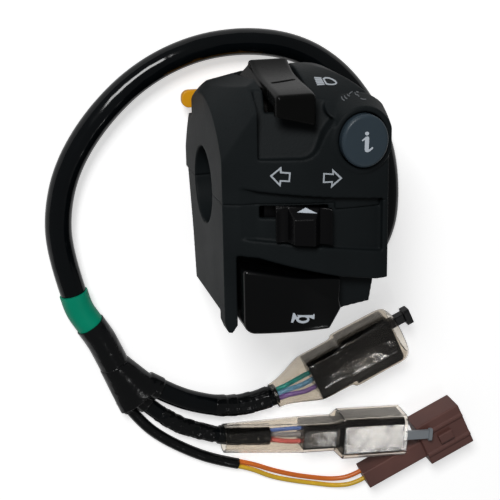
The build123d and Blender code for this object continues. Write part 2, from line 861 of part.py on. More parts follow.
horn_base_front = horn_base_z + horn_base_thickness
for x in horn_post_xs:
    lower_posts.append(rod(horn_post_radius, (x, -horn_stem_y, horn_base_front), (0, 0, 1),
                           well_back - horn_base_front + case_wall / 2))
    lower_holes.append(rod(small_screw_radius + running_gap, (x, -horn_stem_y, horn_base_z), (0, 0, 1),
                           horn_screw_length + seat_gap))
turn_base_back = -slider_back - running_gap - turn_base_thickness
for u in (-turn_post_left, turn_post_right):
    foot = turn_plane.from_local_coords((u, -turn_post_y, turn_base_back))
    lower_posts.append(rod(turn_post_radius, (foot.X - left, foot.Y, foot.Z),
                           (-turn_normal[0], 0, -turn_normal[2]), foot.Z - saddle_radius / 2))
lower_holes.append(rod(horn_stem_radius + free_gap, (horn_stem_x, -horn_stem_y, well_back - overrun / 4),
                       (0, 0, 1), overrun))
lower_holes.append(rod(gland_spigot_radius + running_gap, (gland_x, gland_y - overrun, gland_z), (0, 1, 0),
                       overrun + gland_spigot_length))
lower_holes.append(turned((-window_half_length, window_half_length),
                          (window_y - window_height / 2, window_y + window_height / 2), (slider_front, overrun)))

with BuildPart() as pocket:
    add(pocket_block)
    add(floor_back, mode=Mode.INTERSECT)

with BuildPart() as lower_envelope:
    add(lower_outer)
    add(rest_block)
    add(channel, mode=Mode.SUBTRACT)
    add(gland_notch, mode=Mode.SUBTRACT)

with BuildPart() as lower_fittings:
    for post in lower_posts:
        add(post)
    add(below, mode=Mode.INTERSECT)
    add(lower_envelope.part, mode=Mode.INTERSECT)

with BuildPart() as lower_case:
    add(lower_envelope.part)
    for hollow in lower_hollows:
        add(hollow, mode=Mode.SUBTRACT)
    add(pocket.part, mode=Mode.SUBTRACT)
    add(lower_fittings.part)
    add(slot, mode=Mode.SUBTRACT)
    add(well, mode=Mode.SUBTRACT)
    add(tail_cut, mode=Mode.SUBTRACT)
    add(upper_tab.part, mode=Mode.SUBTRACT)
    add(bore, mode=Mode.SUBTRACT)
    for hole in lower_holes:
        add(hole, mode=Mode.SUBTRACT)
lower_case.part.label = "lower_case"

# Screws
screw_places = [(x, -case_screw_seat, z) for x, z in case_screw_places]


def screw(head_radius, head_height, radius, length, seat, direction):
    """A pan-head screw with a socket, whose head stands on its seat."""
    away = Vector(*direction) * -1
    place = Vector(along(seat[0]), seat[1], seat[2])
    with BuildPart() as form:
        with BuildSketch(Plane(origin=place, z_dir=direction)):
            Circle(radius)
        extrude(amount=length)
        with BuildSketch(Plane(origin=place, z_dir=away)):
            Circle(head_radius)
        extrude(amount=head_height)
        with BuildSketch(Plane(origin=place + away * head_height, z_dir=direction)):
            RegularPolygon(head_radius * socket_share, 6)
        extrude(amount=head_height * socket_share, mode=Mode.SUBTRACT)
    return form.part


def screw_set(solids):
    with BuildPart() as form:
        for solid in solids:
            add(solid)
    return form.part


case_screws = screw_set([
    screw(case_screw_head_radius, case_screw_head_height, case_screw_radius, case_screw_seat + case_screw_reach,
          place, (0, 1, 0)) for place in screw_places
])
case_screws.label = "case_screws"

# Beam lever on its base
beam_top = beam_base_floor + beam_base_thickness
ear_inner = lever_stem_width / 2 + ear_gap
pin_reach = ear_inner + ear_width
beam_ears = []
for side in (-1, 1):
    start = lever_centre + side * ear_inner
    reach = sorted((start, start + side * ear_width))
    beam_ears.append(rod(lever_hub_radius, (reach[0], lever_pivot_y, lever_pivot_z), (1, 0, 0), ear_width))
    beam_ears.append(block(reach, (beam_base_floor, lever_pivot_y),
                           (lever_pivot_z - lever_hub_radius, lever_pivot_z + lever_hub_radius)))
beam_plate = block(
    (lever_centre - beam_base_width / 2, lever_centre + beam_base_width / 2),
    (beam_base_floor, beam_top),
    (beam_base_back, beam_base_front),
)
beam_screw_holes = [
    rod(small_screw_radius + seat_gap, (x, 0, beam_screw_z), (0, 1, 0), beam_top + overrun / 10)
    for x in beam_screw_xs
]
beam_pin_hole = rod(lever_pin_radius + running_gap, (lever_centre - pin_reach, lever_pivot_y, lever_pivot_z),
                    (1, 0, 0), 2 * pin_reach)
with BuildPart() as beam_base:
    add(beam_plate)
    for ear in beam_ears:
        add(ear)
    for hole in beam_screw_holes:
        add(hole, mode=Mode.SUBTRACT)
    add(beam_pin_hole, mode=Mode.SUBTRACT)
beam_base.part.label = "beam_base"

beam_base_screws = screw_set([
    screw(small_head_radius, small_head_height, small_screw_radius, beam_screw_length, (x, beam_top, beam_screw_z),
          (0, -1, 0)) for x in beam_screw_xs
])
beam_base_screws.label = "beam_base_screws"

with BuildPart() as beam_pin:
    with BuildSketch(Plane.YZ.offset(along(lever_centre - pin_reach))):
        with Locations((lever_pivot_y, lever_pivot_z)):
            Circle(lever_pin_radius)
    extrude(amount=2 * pin_reach)
beam_pin.part.label = "beam_pin"

lever_top = [
    (lever_front_y + (lever_ridge_y - lever_front_y) * y, lever_ridge_z + (lever_front_z - lever_ridge_z) * z)
    for y, z in lever_top_shares
]
lever_back_z = lever_ridge_z - lever_back_reach
lever_lip_z = lever_front_z - lever_lip_thickness
lever_under = [(y - lever_thickness, min(z, lever_lip_z)) for y, z in lever_top]
lever_left = along(lever_centre - lever_width / 2)
lever_right = along(lever_centre + lever_width / 2)
lever_skirt = lever_lip_bottom - overrun / 2
detent_ball_y = beam_top + detent_ball_radius + detent_ball_gap
detent_hole_top = lever_pivot_y - lever_pin_radius - running_gap - small_round
stem_bottom = detent_ball_y + detent_ball_gap
stem_block = block(
    (lever_centre - lever_stem_width / 2, lever_centre + lever_stem_width / 2),
    (lever_pivot_y, lever_front_y),
    (lever_pivot_z - lever_hub_radius, lever_pivot_z + lever_hub_radius),
)
stem_leg = block(
    (lever_centre - lever_stem_width / 2, lever_centre + lever_stem_width / 2),
    (stem_bottom, lever_pivot_y),
    (lever_pivot_z - lever_stem_depth / 2, lever_pivot_z + lever_stem_depth / 2),
)
lever_hub = rod(lever_hub_radius, (lever_centre - lever_stem_width / 2, lever_pivot_y, lever_pivot_z), (1, 0, 0),
                lever_stem_width)
detent_hole = rod(detent_ball_radius + detent_hole_gap, (lever_centre, stem_bottom - overrun / 10, lever_pivot_z),
                  (0, 1, 0), detent_hole_top - stem_bottom + overrun / 10)
groove_plane = Plane(origin=(along(lever_centre), lever_top[2][0] - lever_groove_depth, lever_dip_z),
                     x_dir=(cos(radians(recess_lean)), 0, -sin(radians(recess_lean))), z_dir=(0, 1, 0))
flank_top = lever_ridge_y - small_round
with BuildPart() as lever_flank:
    with BuildSketch(Plane.XY.offset(lever_back_z)):
        with BuildLine():
            Polyline((lever_left + lever_round, flank_top), (lever_left - lever_flank_width, flank_top - lever_flank_height),
                     (lever_left - lever_flank_width, flank_top - lever_flank_height - small_round * 2),
                     (lever_left + lever_round, flank_top - lever_flank_height - small_round * 2), close=True)
        make_face()
    with BuildSketch(Plane.XY.offset(lever_flank_end)):
        with BuildLine():
            tip_y = lever_top[2][0] - lever_round
            Polyline((lever_left + lever_round, tip_y), (lever_left - lever_flank_tip, tip_y - lever_flank_tip),
                     (lever_left - lever_flank_tip, tip_y - lever_round), (lever_left + lever_round, tip_y - lever_round),
                     close=True)
        make_face()
    loft(ruled=True)

with BuildPart() as beam_lever:
    with BuildSketch(Plane.YZ.offset(lever_left)):
        with BuildLine():
            Spline(*lever_top)
            Polyline(lever_top[-1], (lever_lip_bottom, lever_front_z), (lever_lip_bottom, lever_lip_z),
                     lever_under[-1], *reversed(lever_under[1:-1]), (lever_under[0][0], lever_back_z),
                     (lever_ridge_y - lever_back_reach, lever_back_z), lever_top[0])
        make_face()
    extrude(amount=lever_width)
    top_sides = beam_lever.edges().filter_by(GeomType.BSPLINE)
    fronts = beam_lever.edges().filter_by(Axis.Y).group_by(Axis.Z)[-1]
    brow = beam_lever.edges().filter_by(Axis.X).sort_by(Axis.Z)[-2:].sort_by(Axis.Y)[-1]
    ridge = beam_lever.edges().filter_by(Axis.X).sort_by(Axis.Y)[-2:]
    fillet([*top_sides, *fronts, brow, *ridge], radius=lever_round)
    with BuildSketch(Plane.XY.offset(lever_lip_z - small_round)):
        with BuildLine():
            Polyline((lever_left - small_round, lever_lip_left_y), (lever_right + small_round, lever_lip_right_y),
                     (lever_right + small_round, lever_skirt), (lever_left - small_round, lever_skirt), close=True)
        make_face()
    extrude(amount=overrun, mode=Mode.SUBTRACT)
    with BuildSketch(groove_plane):
        SlotOverall(lever_groove_length, lever_groove_width)
    extrude(amount=overrun / 4, mode=Mode.SUBTRACT)
    add(lever_flank.part)
    add(stem_block)
    add(stem_leg)
    add(lever_hub)
    add(beam_pin_hole, mode=Mode.SUBTRACT)
    add(detent_hole, mode=Mode.SUBTRACT)
beam_lever.part.label = "beam_lever"


def ball(radius, place):
    with BuildPart() as form:
        with BuildSketch(Plane(origin=place, z_dir=(0, 1, 0), x_dir=(1, 0, 0))):
            with BuildLine():
                CenterArc((0, 0), radius, -90, 180)
                Line((0, radius), (0, -radius))
            make_face()
        revolve(axis=Axis(place, (0, 0, 1)))
    return form.part


beam_detent_ball = ball(detent_ball_radius, (along(lever_centre), detent_ball_y, lever_pivot_z))
beam_detent_ball.label = "beam_detent_ball"
detent_spring_start = detent_ball_y + detent_ball_radius
beam_detent_spring = coil(detent_ball_radius - detent_wire, detent_wire, detent_hole_top - detent_spring_start,
                          detent_turns, (lever_centre, detent_spring_start, lever_pivot_z), (0, 1, 0))
beam_detent_spring.label = "beam_detent_spring"

# Info button, its switch and the plate that carries them
info_roof_z = info_front_z - info_skin
info_switch_z = info_plate_front
info_plunger_z = info_switch_z + info_switch_height
info_cap = info_oval(0, (info_skirt_z, info_front_z))
info_void = info_oval(-info_skin, (info_skirt_z - small_round, info_roof_z))
info_stem = rod(info_stem_radius, (info_x, info_y, info_stem_z), (0, 0, 1), info_roof_z - info_stem_z)
with BuildPart() as info_button:
    add(info_cap)
    fillet(info_button.faces().sort_by(Axis.Z)[-1].edges(), radius=info_round)
    add(info_void, mode=Mode.SUBTRACT)
    add(info_stem)
info_button.part.label = "info_button"

info_spring = coil(info_spring_radius, spring_wire, info_roof_z - info_plunger_z - 2 * running_gap,
                   info_spring_turns, (info_x, info_y, info_plunger_z + running_gap), (0, 0, 1))
info_spring.label = "info_spring"

with BuildPart() as info_switch:
    with BuildSketch(Plane.XY.offset(info_switch_z)):
        with Locations((along(info_x), info_y)):
            RectangleRounded(info_switch_size, info_switch_size, small_round)
    extrude(amount=info_switch_height)
    with BuildSketch(Plane.XY.offset(info_plunger_z)):
        with Locations((along(info_x), info_y)):
            Circle(info_plunger_radius)
    extrude(amount=info_plunger_height)
info_switch.part.label = "info_switch"

info_pad = block((info_plate_left, info_plate_step),
                 (info_post_ys[0] - info_post_radius, info_post_ys[1] + info_post_radius),
                 (info_plate_z, info_plate_front))
info_arm = block((info_plate_step, info_plate_right), (info_y - info_plate_half, info_y + info_plate_half),
                 (info_plate_z, info_plate_front))
info_plate_holes = [
    rod(small_screw_radius + seat_gap, (info_post_x, y, info_plate_z - small_round), (0, 0, 1), overrun)
    for y in info_post_ys
]
with BuildPart() as info_plate:
    add(info_pad)
    add(info_arm)
    for hole in info_plate_holes:
        add(hole, mode=Mode.SUBTRACT)
info_plate.part.label = "info_plate"

info_plate_screws = screw_set([
    screw(small_head_radius, small_head_height, small_screw_radius, beam_screw_length, (info_post_x, y, info_plate_z),
          (0, 0, 1)) for y in info_post_ys
])
info_plate_screws.label = "info_plate_screws"

# Turn switch
slider_body = turned((-slider_half_length, slider_half_length), (-slider_bottom, -slider_top),
                     (-slider_back, slider_front))
tongue_bottom = tongue_top + tongue_height
slider_tongue = turned((-slider_half_length, slider_half_length), (-tongue_bottom, -tongue_top),
                       (-slider_back - tongue_depth, -slider_back))
stem_hole_y = (window_y - stem_height / 2 - running_gap, window_y + stem_height / 2 + running_gap)
slider_hole = turned((-stem_half_length - running_gap, stem_half_length + running_gap), stem_hole_y,
                     (slider_floor - slider_back, overrun))
turn_ball_w = (slider_front - slider_back) / 2
turn_ball_y = -slider_bottom + turn_ball_radius - turn_ball_gap
turn_ball_place = turn_plane.from_local_coords((0, turn_ball_y, turn_ball_w))
turn_ball_hole_start = (turn_ball_place.X - left, -slider_bottom - small_round, turn_ball_place.Z)
slider_ball_hole = rod(turn_ball_radius + detent_hole_gap, turn_ball_hole_start, (0, 1, 0),
                       turn_ball_hole + small_round)
with BuildPart() as turn_slider:
    add(slider_body)
    add(slider_tongue)
    add(slider_hole, mode=Mode.SUBTRACT)
    add(slider_ball_hole, mode=Mode.SUBTRACT)
turn_slider.part.label = "turn_slider"

turn_detent_ball = ball(turn_ball_radius, tuple(turn_ball_place))
turn_detent_ball.label = "turn_detent_ball"
turn_spring_start = turn_ball_y + turn_ball_radius
turn_detent_spring = coil(turn_ball_radius - detent_wire, detent_wire,
                          turn_ball_hole - slider_bottom - turn_spring_start, detent_turns,
                          (turn_ball_place.X - left, turn_spring_start, turn_ball_place.Z), (0, 1, 0))
turn_detent_spring.label = "turn_detent_spring"

knob_half = (knob_left + knob_right) / 2
knob_middle = (knob_right - knob_left) / 2
knob_profile_plane = Plane(origin=turn_plane.from_local_coords((0, -knob_bottom_right, 0)), x_dir=turn_direction,
                           z_dir=(0, -1, 0))
knob_stem = turned((-stem_half_length, stem_half_length), (window_y - stem_height / 2, window_y + stem_height / 2),
                   (slider_front - stem_engagement, knob_base))
knob_spring_hole_start = turn_plane.from_local_coords((0, window_y, slider_front - stem_engagement))
knob_spring_hole = rod(knob_spring_radius + detent_wire, (knob_spring_hole_start.X - left, knob_spring_hole_start.Y,
                                                          knob_spring_hole_start.Z),
                       turn_normal, stem_engagement + knob_travel)


def knob_side(side):
    """One wing of the knob's profile, from its edge to the block's top."""
    edge = knob_middle + side * knob_half
    dip = knob_middle + side * (knob_half + knob_foot_half) / 2
    foot = knob_middle + side * knob_foot_half
    top = knob_middle + side * knob_block_half
    return (
        (edge, knob_base),
        (edge, knob_base + knob_wing),
        (dip, knob_base + (knob_wing + knob_scoop) / 2 - knob_scoop * socket_share / 2),
        (foot, knob_base + knob_scoop),
        (top, knob_base + knob_block_height),
    )


wing_left = knob_side(-1)
wing_right = knob_side(1)
with BuildPart() as turn_knob:
    with BuildSketch(knob_profile_plane):
        with BuildLine():
            Line(wing_left[0], wing_left[1])
            ThreePointArc(*wing_left[1:4])
            Polyline(wing_left[3], wing_left[4], wing_right[4], wing_right[3])
            ThreePointArc(*reversed(wing_right[1:4]))
            Polyline(wing_right[1], wing_right[0], wing_left[0])
        make_face()
    extrude(amount=-knob_bottom_right - knob_top_left)
    with BuildSketch(turn_plane):
        with BuildLine():
            Polyline((-knob_left, -knob_bottom_left), (-knob_left, knob_top_left), (knob_right, -knob_top_right),
                     (knob_right, -knob_bottom_right), close=True)
        make_face()
    extrude(amount=overrun, mode=Mode.INTERSECT)
    top_edge = (knob_top_left - knob_top_right) / 2
    crest_w = knob_base + knob_block_height
    slope_plane = Plane(origin=turn_plane.from_local_coords((knob_left + knob_right, 0, 0)),
                        x_dir=(0, 1, 0), z_dir=turn_direction)
    with BuildSketch(slope_plane):
        with BuildLine():
            Polyline((top_edge - knob_top_slope, crest_w), (top_edge, crest_w - knob_top_slope),
                     (top_edge + overrun, crest_w - knob_top_slope), (top_edge + overrun, crest_w + overrun),
                     (top_edge - knob_top_slope, crest_w + overrun), close=True)
        make_face()
    extrude(amount=-2 * (knob_left + knob_right), mode=Mode.SUBTRACT)
    add(knob_stem)
    add(knob_spring_hole, mode=Mode.SUBTRACT)
turn_knob.part.label = "turn_knob"

knob_spring_start = turn_plane.from_local_coords((0, window_y, slider_floor - slider_back))
knob_spring = coil(knob_spring_radius, detent_wire, slider_front - slider_floor + slider_back - knob_travel, detent_turns,
                   (knob_spring_start.X - left, knob_spring_start.Y, knob_spring_start.Z), turn_normal)
knob_spring.label = "knob_spring"

base_front = -slider_back - running_gap
turn_plate = turned((-turn_base_left, turn_base_right), (-pocket_bottom, -slider_top), (turn_base_back, base_front))
turn_rail = turned((-turn_base_left, turn_base_right), (-pocket_bottom, -slider_bottom - turn_rail_gap),
                   (base_front, slider_front - slider_back))
turn_groove = turned((-turn_base_left - overrun, turn_base_right + overrun),
                     (-tongue_bottom - running_gap, -tongue_top + running_gap),
                     (base_front - tongue_depth, base_front))
with BuildPart() as turn_base:
    add(turn_plate)
    add(turn_rail)
    add(turn_groove, mode=Mode.SUBTRACT)
turn_base.part.label = "turn_base"

with BuildPart() as turn_contacts:
    with BuildSketch(turn_plane.offset(turn_base_back - contact_length)):
        with Locations((0, window_y)):
            with GridLocations(contact_pitch, contact_pitch, 3, 1):
                Rectangle(contact_width, contact_thickness)
    extrude(amount=contact_length)
turn_contacts.part.label = "turn_contacts"

# Horn button, its clip, spring and base
horn_span = horn_right - horn_left
horn_drop = horn_bottom - horn_top
horn_outline = [(along(horn_left + horn_span * x), -horn_top - horn_drop * y) for x, y in horn_shares]
horn_back_z = horn_well_z + horn_travel + horn_back_gap


def horn_form(inset):
    """The horn button as a solid, its front a gentle barrel."""
    front = [
        (along(horn_left), horn_front_left - inset),
        (along((horn_left + horn_right) / 2), horn_front_middle - inset),
        (along(horn_right), horn_front_right - inset),
    ]
    with BuildPart() as form:
        with BuildSketch(Plane.XY):
            with BuildLine():
                Polyline(*horn_outline, close=True)
            make_face()
            if inset:
                offset(amount=-inset, kind=Kind.INTERSECTION)
        extrude(amount=far_front)
        with BuildSketch(Plane.XZ):
            with BuildLine():
                ThreePointArc(*front)
                Polyline(front[2], (front[2][0], horn_back_z - inset), (front[0][0], horn_back_z - inset), front[0])
            make_face()
        extrude(amount=lower_height * 2, both=True, mode=Mode.INTERSECT)
    return form.part


horn_outer = horn_form(0)
horn_inner = horn_form(horn_skin)
facet_origin = Vector(horn_outline[1][0], horn_outline[1][1], horn_front_middle)
facet_along = Vector(horn_outline[3][0], horn_outline[3][1], horn_front_right) - facet_origin
facet_corner = Vector(horn_outline[2][0], horn_outline[2][1], horn_front_right - horn_facet_drop) - facet_origin
facet_normal = facet_along.cross(facet_corner)
if facet_normal.Z < 0:
    facet_normal = facet_normal * -1
horn_stem = rod(horn_stem_radius, (horn_stem_x, -horn_stem_y, horn_stem_z), (0, 0, 1),
                horn_front_middle - horn_skin / 2 - horn_stem_z)
clip_z = well_back - horn_back_gap - horn_clip_thickness
clip_groove = rod(horn_stem_radius + overrun, (horn_stem_x, -horn_stem_y, clip_z), (0, 0, 1), horn_clip_thickness)
clip_core = rod(horn_stem_radius - small_round, (horn_stem_x, -horn_stem_y, clip_z), (0, 0, 1), horn_clip_thickness)
with BuildPart() as horn_shell:
    add(horn_outer)
    horn_left_edges = horn_shell.edges().filter_by(Axis.Z).group_by(Axis.X)[0].sort_by(Axis.Y)
    fillet(horn_left_edges[0], radius=horn_corner)
    fillet(horn_shell.edges().filter_by(Axis.Z).sort_by(Axis.X)[:2].sort_by(Axis.Y)[-1], radius=horn_edge)
    front_rim = horn_shell.faces().sort_by(Axis.Z)[-1].edges()
    fillet(front_rim, radius=horn_edge)
    with BuildSketch(Plane(origin=facet_origin, z_dir=facet_normal)):
        Rectangle(housing_length * 2, housing_length * 2)
    extrude(amount=overrun, mode=Mode.SUBTRACT)
    add(horn_inner, mode=Mode.SUBTRACT)
with BuildPart() as horn_button:
    add(horn_stem)
    add(clip_groove, mode=Mode.SUBTRACT)
    add(clip_core)
    add(horn_shell.part)
horn_button.part.label = "horn_button"

with BuildPart() as horn_clip:
    with BuildSketch(Plane.XY.offset(clip_z)):
        with Locations((along(horn_stem_x), -horn_stem_y)):
            Circle(horn_clip_radius)
            Circle(horn_stem_radius - small_round + running_gap, mode=Mode.SUBTRACT)
    extrude(amount=horn_clip_thickness)
horn_clip.part.label = "horn_clip"

horn_spring_length = horn_front_middle - horn_skin - horn_well_z - horn_back_gap
horn_spring = coil(horn_spring_radius, spring_wire, horn_spring_length, horn_spring_turns,
                   (horn_stem_x, -horn_stem_y, horn_well_z + running_gap), (0, 0, 1))
horn_spring.label = "horn_spring"

with BuildPart() as horn_base:
    with BuildSketch(Plane.XY.offset(horn_base_z)):
        with Locations((along(horn_stem_x), -horn_stem_y)):
            RectangleRounded(2 * horn_base_half, horn_base_height, small_round)
            with GridLocations(2 * horn_post_spread, horn_post_spread, 2, 1):
                Circle(small_screw_radius + seat_gap, mode=Mode.SUBTRACT)
    extrude(amount=horn_base_thickness)
horn_base.part.label = "horn_base"

with BuildPart() as horn_contact:
    with BuildSketch(Plane.XY.offset(horn_base_front)):
        with Locations((along(horn_stem_x), -horn_stem_y)):
            Circle(horn_contact_radius)
    extrude(amount=horn_contact_height)
horn_contact.part.label = "horn_contact"

horn_base_screws = screw_set([
    screw(small_head_radius, small_head_height, small_screw_radius, horn_screw_length, (x, -horn_stem_y, horn_base_z),
          (0, 0, 1)) for x in horn_post_xs
])
horn_base_screws.label = "horn_base_screws"

# Passing trigger
trigger_bottom = trigger_y - trigger_height / 2
trigger_outer_z = -trigger_inner_z - trigger_thickness
trigger_web = block((trigger_pivot_x - trigger_hub_radius, trigger_pivot_x + trigger_hub_radius),
                    (trigger_bottom, trigger_bottom + trigger_height), (trigger_outer_z, -trigger_pivot_z))
trigger_hub = rod(trigger_hub_radius, (trigger_pivot_x, trigger_bottom, -trigger_pivot_z), (0, 1, 0), trigger_height)
trigger_finger = rod(trigger_finger_radius, (trigger_finger_x, trigger_y, -trigger_inner_z - small_round),
                     (0, 0, 1), trigger_inner_z + small_round - trigger_finger_z)
spring_pocket = rod(trigger_spring_pocket, (trigger_pivot_x, trigger_bottom + trigger_height - trigger_spring_length,
                                            -trigger_pivot_z), (0, 1, 0), trigger_spring_length + overrun)
with BuildPart() as pass_trigger:
    with BuildSketch(Plane.XY.offset(trigger_outer_z)):
        with Locations(((left - trigger_tip + along(trigger_pivot_x)) / 2, trigger_y)):
            RectangleRounded(trigger_pivot_x + trigger_tip, trigger_height, trigger_corner)
    extrude(amount=trigger_thickness)
    fillet(pass_trigger.faces().sort_by(Axis.Z)[0].edges(), radius=small_round * 2)
    add(trigger_web)
    add(trigger_hub)
    add(trigger_finger)
    add(trigger_pin_hole, mode=Mode.SUBTRACT)
    add(spring_pocket, mode=Mode.SUBTRACT)
pass_trigger.part.label = "pass_trigger"

with BuildPart() as trigger_pin:
    with BuildSketch(Plane(origin=(along(trigger_pivot_x), pin_start, -trigger_pivot_z), z_dir=(0, 1, 0))):
        Circle(trigger_pin_radius)
    extrude(amount=pin_length)
trigger_pin.part.label = "trigger_pin"

trigger_spring = coil(trigger_spring_radius, detent_wire, trigger_spring_length, detent_turns / 2,
                      (trigger_pivot_x, trigger_bottom + trigger_height - trigger_spring_length + running_gap,
                       -trigger_pivot_z), (0, 1, 0))
trigger_spring.label = "trigger_spring"

pass_switch = block(
    (trigger_finger_x - pass_switch_width / 2, trigger_finger_x + pass_switch_width / 2),
    (trigger_y - pass_switch_height / 2, trigger_y + pass_switch_height / 2),
    (pass_switch_front, pass_wall_z),
)
pass_switch.label = "pass_switch"

# Gland
with BuildPart() as cable_gland:
    with BuildSketch(Plane(origin=(along(gland_x), gland_y, gland_z), z_dir=(0, -1, 0))):
        Circle(gland_radius)
    extrude(amount=gland_length)
    with BuildSketch(Plane(origin=(along(gland_x), gland_y, gland_z), z_dir=(0, 1, 0))):
        Circle(gland_spigot_radius)
    extrude(amount=gland_spigot_length)
cable_gland.part.label = "cable_gland"


# Cords
def cord(name, route, diameter):
    """A round cord along straight runs joined by arcs as large as the runs allow."""
    radii = []
    for before, corner, after in zip(route, route[1:], route[2:]):
        run_in = Vector(*corner) - Vector(*before)
        run_out = Vector(*after) - Vector(*corner)
        turn = radians(run_in.get_angle(run_out))
        radii.append(corner_share * min(run_in.length, run_out.length) / tan(turn / 2))
    with BuildPart() as form:
        with BuildLine() as path:
            FilletPolyline(*route, radius=radii)
        with BuildSketch(Plane(origin=path.line @ 0, z_dir=path.line % 0)):
            Circle(diameter / 2)
        sweep(path=path.line)
    length = path.wire().length
    ratio = form.part.volume / (pi * diameter ** 2 / 4 * length)
    tightest = min(radii) / diameter
    print(f"{name}: {length:.1f} mm long, tightest bend {min(radii):.1f} mm or {tightest:.1f} diameters,",
          f"volume ratio {ratio:.3f}, radii {[round(radius, 1) for radius in radii]}")
    form.part.label = name
    return form.part


trunk_sleeve = cord("trunk_sleeve", trunk_route, sleeve_diameter)
green_band = cord("green_band", band_route, band_diameter)
trunk_tape = cord("trunk_tape", tape_route, tape_diameter)
branch_a = cord("branch_a", branch_a_route, branch_a_diameter)
branch_b = cord("branch_b", branch_b_route, branch_b_diameter)
branch_c = cord("branch_c", branch_c_route, branch_c_diameter)
wires = [cord(name, route, wire_diameter) for name, route in wire_routes.items()]



def stub(end, after, diameter):
    """A taped stub, level with the table, that ends where a branch begins."""
    radius = diameter / 2 + breakout_wrap
    finish = Vector(end[0], end[1], radius - back_depth)
    heading = Vector(after[0] - end[0], after[1] - end[1], 0).normalized()
    with BuildPart() as form:
        with BuildSketch(Plane(origin=finish - heading * breakout_stub, z_dir=heading)):
            Circle(radius)
        extrude(amount=breakout_stub)
    return form.part


stubs = [
    stub(branch_a_route[0], branch_a_route[1], branch_a_diameter),
    stub(branch_b_route[0], branch_b_route[1], branch_b_diameter),
    stub(branch_c_route[0], branch_c_route[1], branch_c_diameter),
]
root_end = Vector(*tape_route[-1][:2], breakout_root_radius - back_depth)
root_heading = (Vector(*tape_route[-1]) - Vector(*tape_route[-2])).normalized()
fan_end = Vector(breakout_x, breakout_y, breakout_half_height - back_depth)
fan_heading = Vector(cos(radians(breakout_heading)), sin(radians(breakout_heading)), 0)
with BuildPart() as breakout:
    with BuildSketch(Plane(origin=root_end, x_dir=root_heading.cross(Vector(0, 0, 1)), z_dir=root_heading)):
        Circle(breakout_root_radius)
    with BuildSketch(Plane(origin=fan_end, x_dir=fan_heading.cross(Vector(0, 0, 1)), z_dir=fan_heading)):
        Ellipse(breakout_half_width, breakout_half_height)
    loft()
    for piece in stubs:
        add(piece)
breakout.part.label = "breakout"


# Connectors
def end_plane(place, angle, reach, height):
    """The plane square to a connector's length, at a reach from its middle."""
    direction = Vector(cos(radians(angle)), sin(radians(angle)), 0)
    origin = Vector(place[0], place[1], height / 2 - back_depth) + direction * reach
    return Plane(origin=origin, x_dir=(-sin(radians(angle)), cos(radians(angle)), 0), z_dir=direction)


a_place = (conn_a_x, conn_a_y)
a_half = conn_a_length / 2
a_body_width = conn_a_width - 2 * (sheath_wall + sheath_gap)
a_body_height = conn_a_height - 2 * (sheath_wall + sheath_gap)
with BuildPart() as conn_a_body:
    with BuildSketch(end_plane(a_place, conn_a_angle, -a_half + sheath_wall + sheath_gap, conn_a_height)):
        RectangleRounded(a_body_width, a_body_height, conn_a_round - sheath_wall)
    extrude(amount=conn_a_length - sheath_wall - sheath_gap)
    with BuildSketch(end_plane(a_place, conn_a_angle, -a_half - conn_a_rear_length, conn_a_height)):
        RectangleRounded(conn_a_rear_width, conn_a_rear_height, conn_a_rear_round)
    extrude(amount=conn_a_rear_length + conn_a_socket_wall)
    with BuildSketch(end_plane(a_place, conn_a_angle, a_half - conn_a_socket_depth, conn_a_height)):
        RectangleRounded(a_body_width - 2 * conn_a_socket_wall, a_body_height - 2 * conn_a_socket_wall,
                         conn_a_round - sheath_wall - conn_a_socket_wall / 2)
    extrude(amount=overrun, mode=Mode.SUBTRACT)
conn_a_body.part.label = "conn_a_body"

with BuildPart() as conn_a_sheath:
    with BuildSketch(end_plane(a_place, conn_a_angle, -a_half, conn_a_height)):
        RectangleRounded(conn_a_width, conn_a_height, conn_a_round)
        RectangleRounded(conn_a_rear_width + 2 * sheath_gap, conn_a_rear_height + 2 * sheath_gap, conn_a_rear_round,
                         mode=Mode.SUBTRACT)
    extrude(amount=sheath_wall)
    with BuildSketch(end_plane(a_place, conn_a_angle, -a_half + sheath_wall, conn_a_height)):
        RectangleRounded(conn_a_width, conn_a_height, conn_a_round)
        RectangleRounded(conn_a_width - 2 * sheath_wall, conn_a_height - 2 * sheath_wall, conn_a_round - sheath_wall,
                         mode=Mode.SUBTRACT)
    extrude(amount=conn_a_length - sheath_wall)
conn_a_sheath.part.label = "conn_a_sheath"

latch_plane = end_plane(a_place, conn_a_angle, a_half, conn_a_height)
with BuildPart() as conn_a_latch:
    with BuildSketch(latch_plane.offset(-conn_a_socket_depth)):
        with Locations((latch_offset, latch_rise)):
            Rectangle(latch_width, latch_height)
    extrude(amount=conn_a_socket_depth + latch_reach)
    with BuildSketch(latch_plane.offset(latch_reach - latch_hook)):
        with Locations((latch_offset, latch_rise + latch_hook / 4)):
            RectangleRounded(latch_width + latch_hook, latch_height + latch_hook / 2, small_round)
    extrude(amount=latch_hook)
conn_a_latch.part.label = "conn_a_latch"

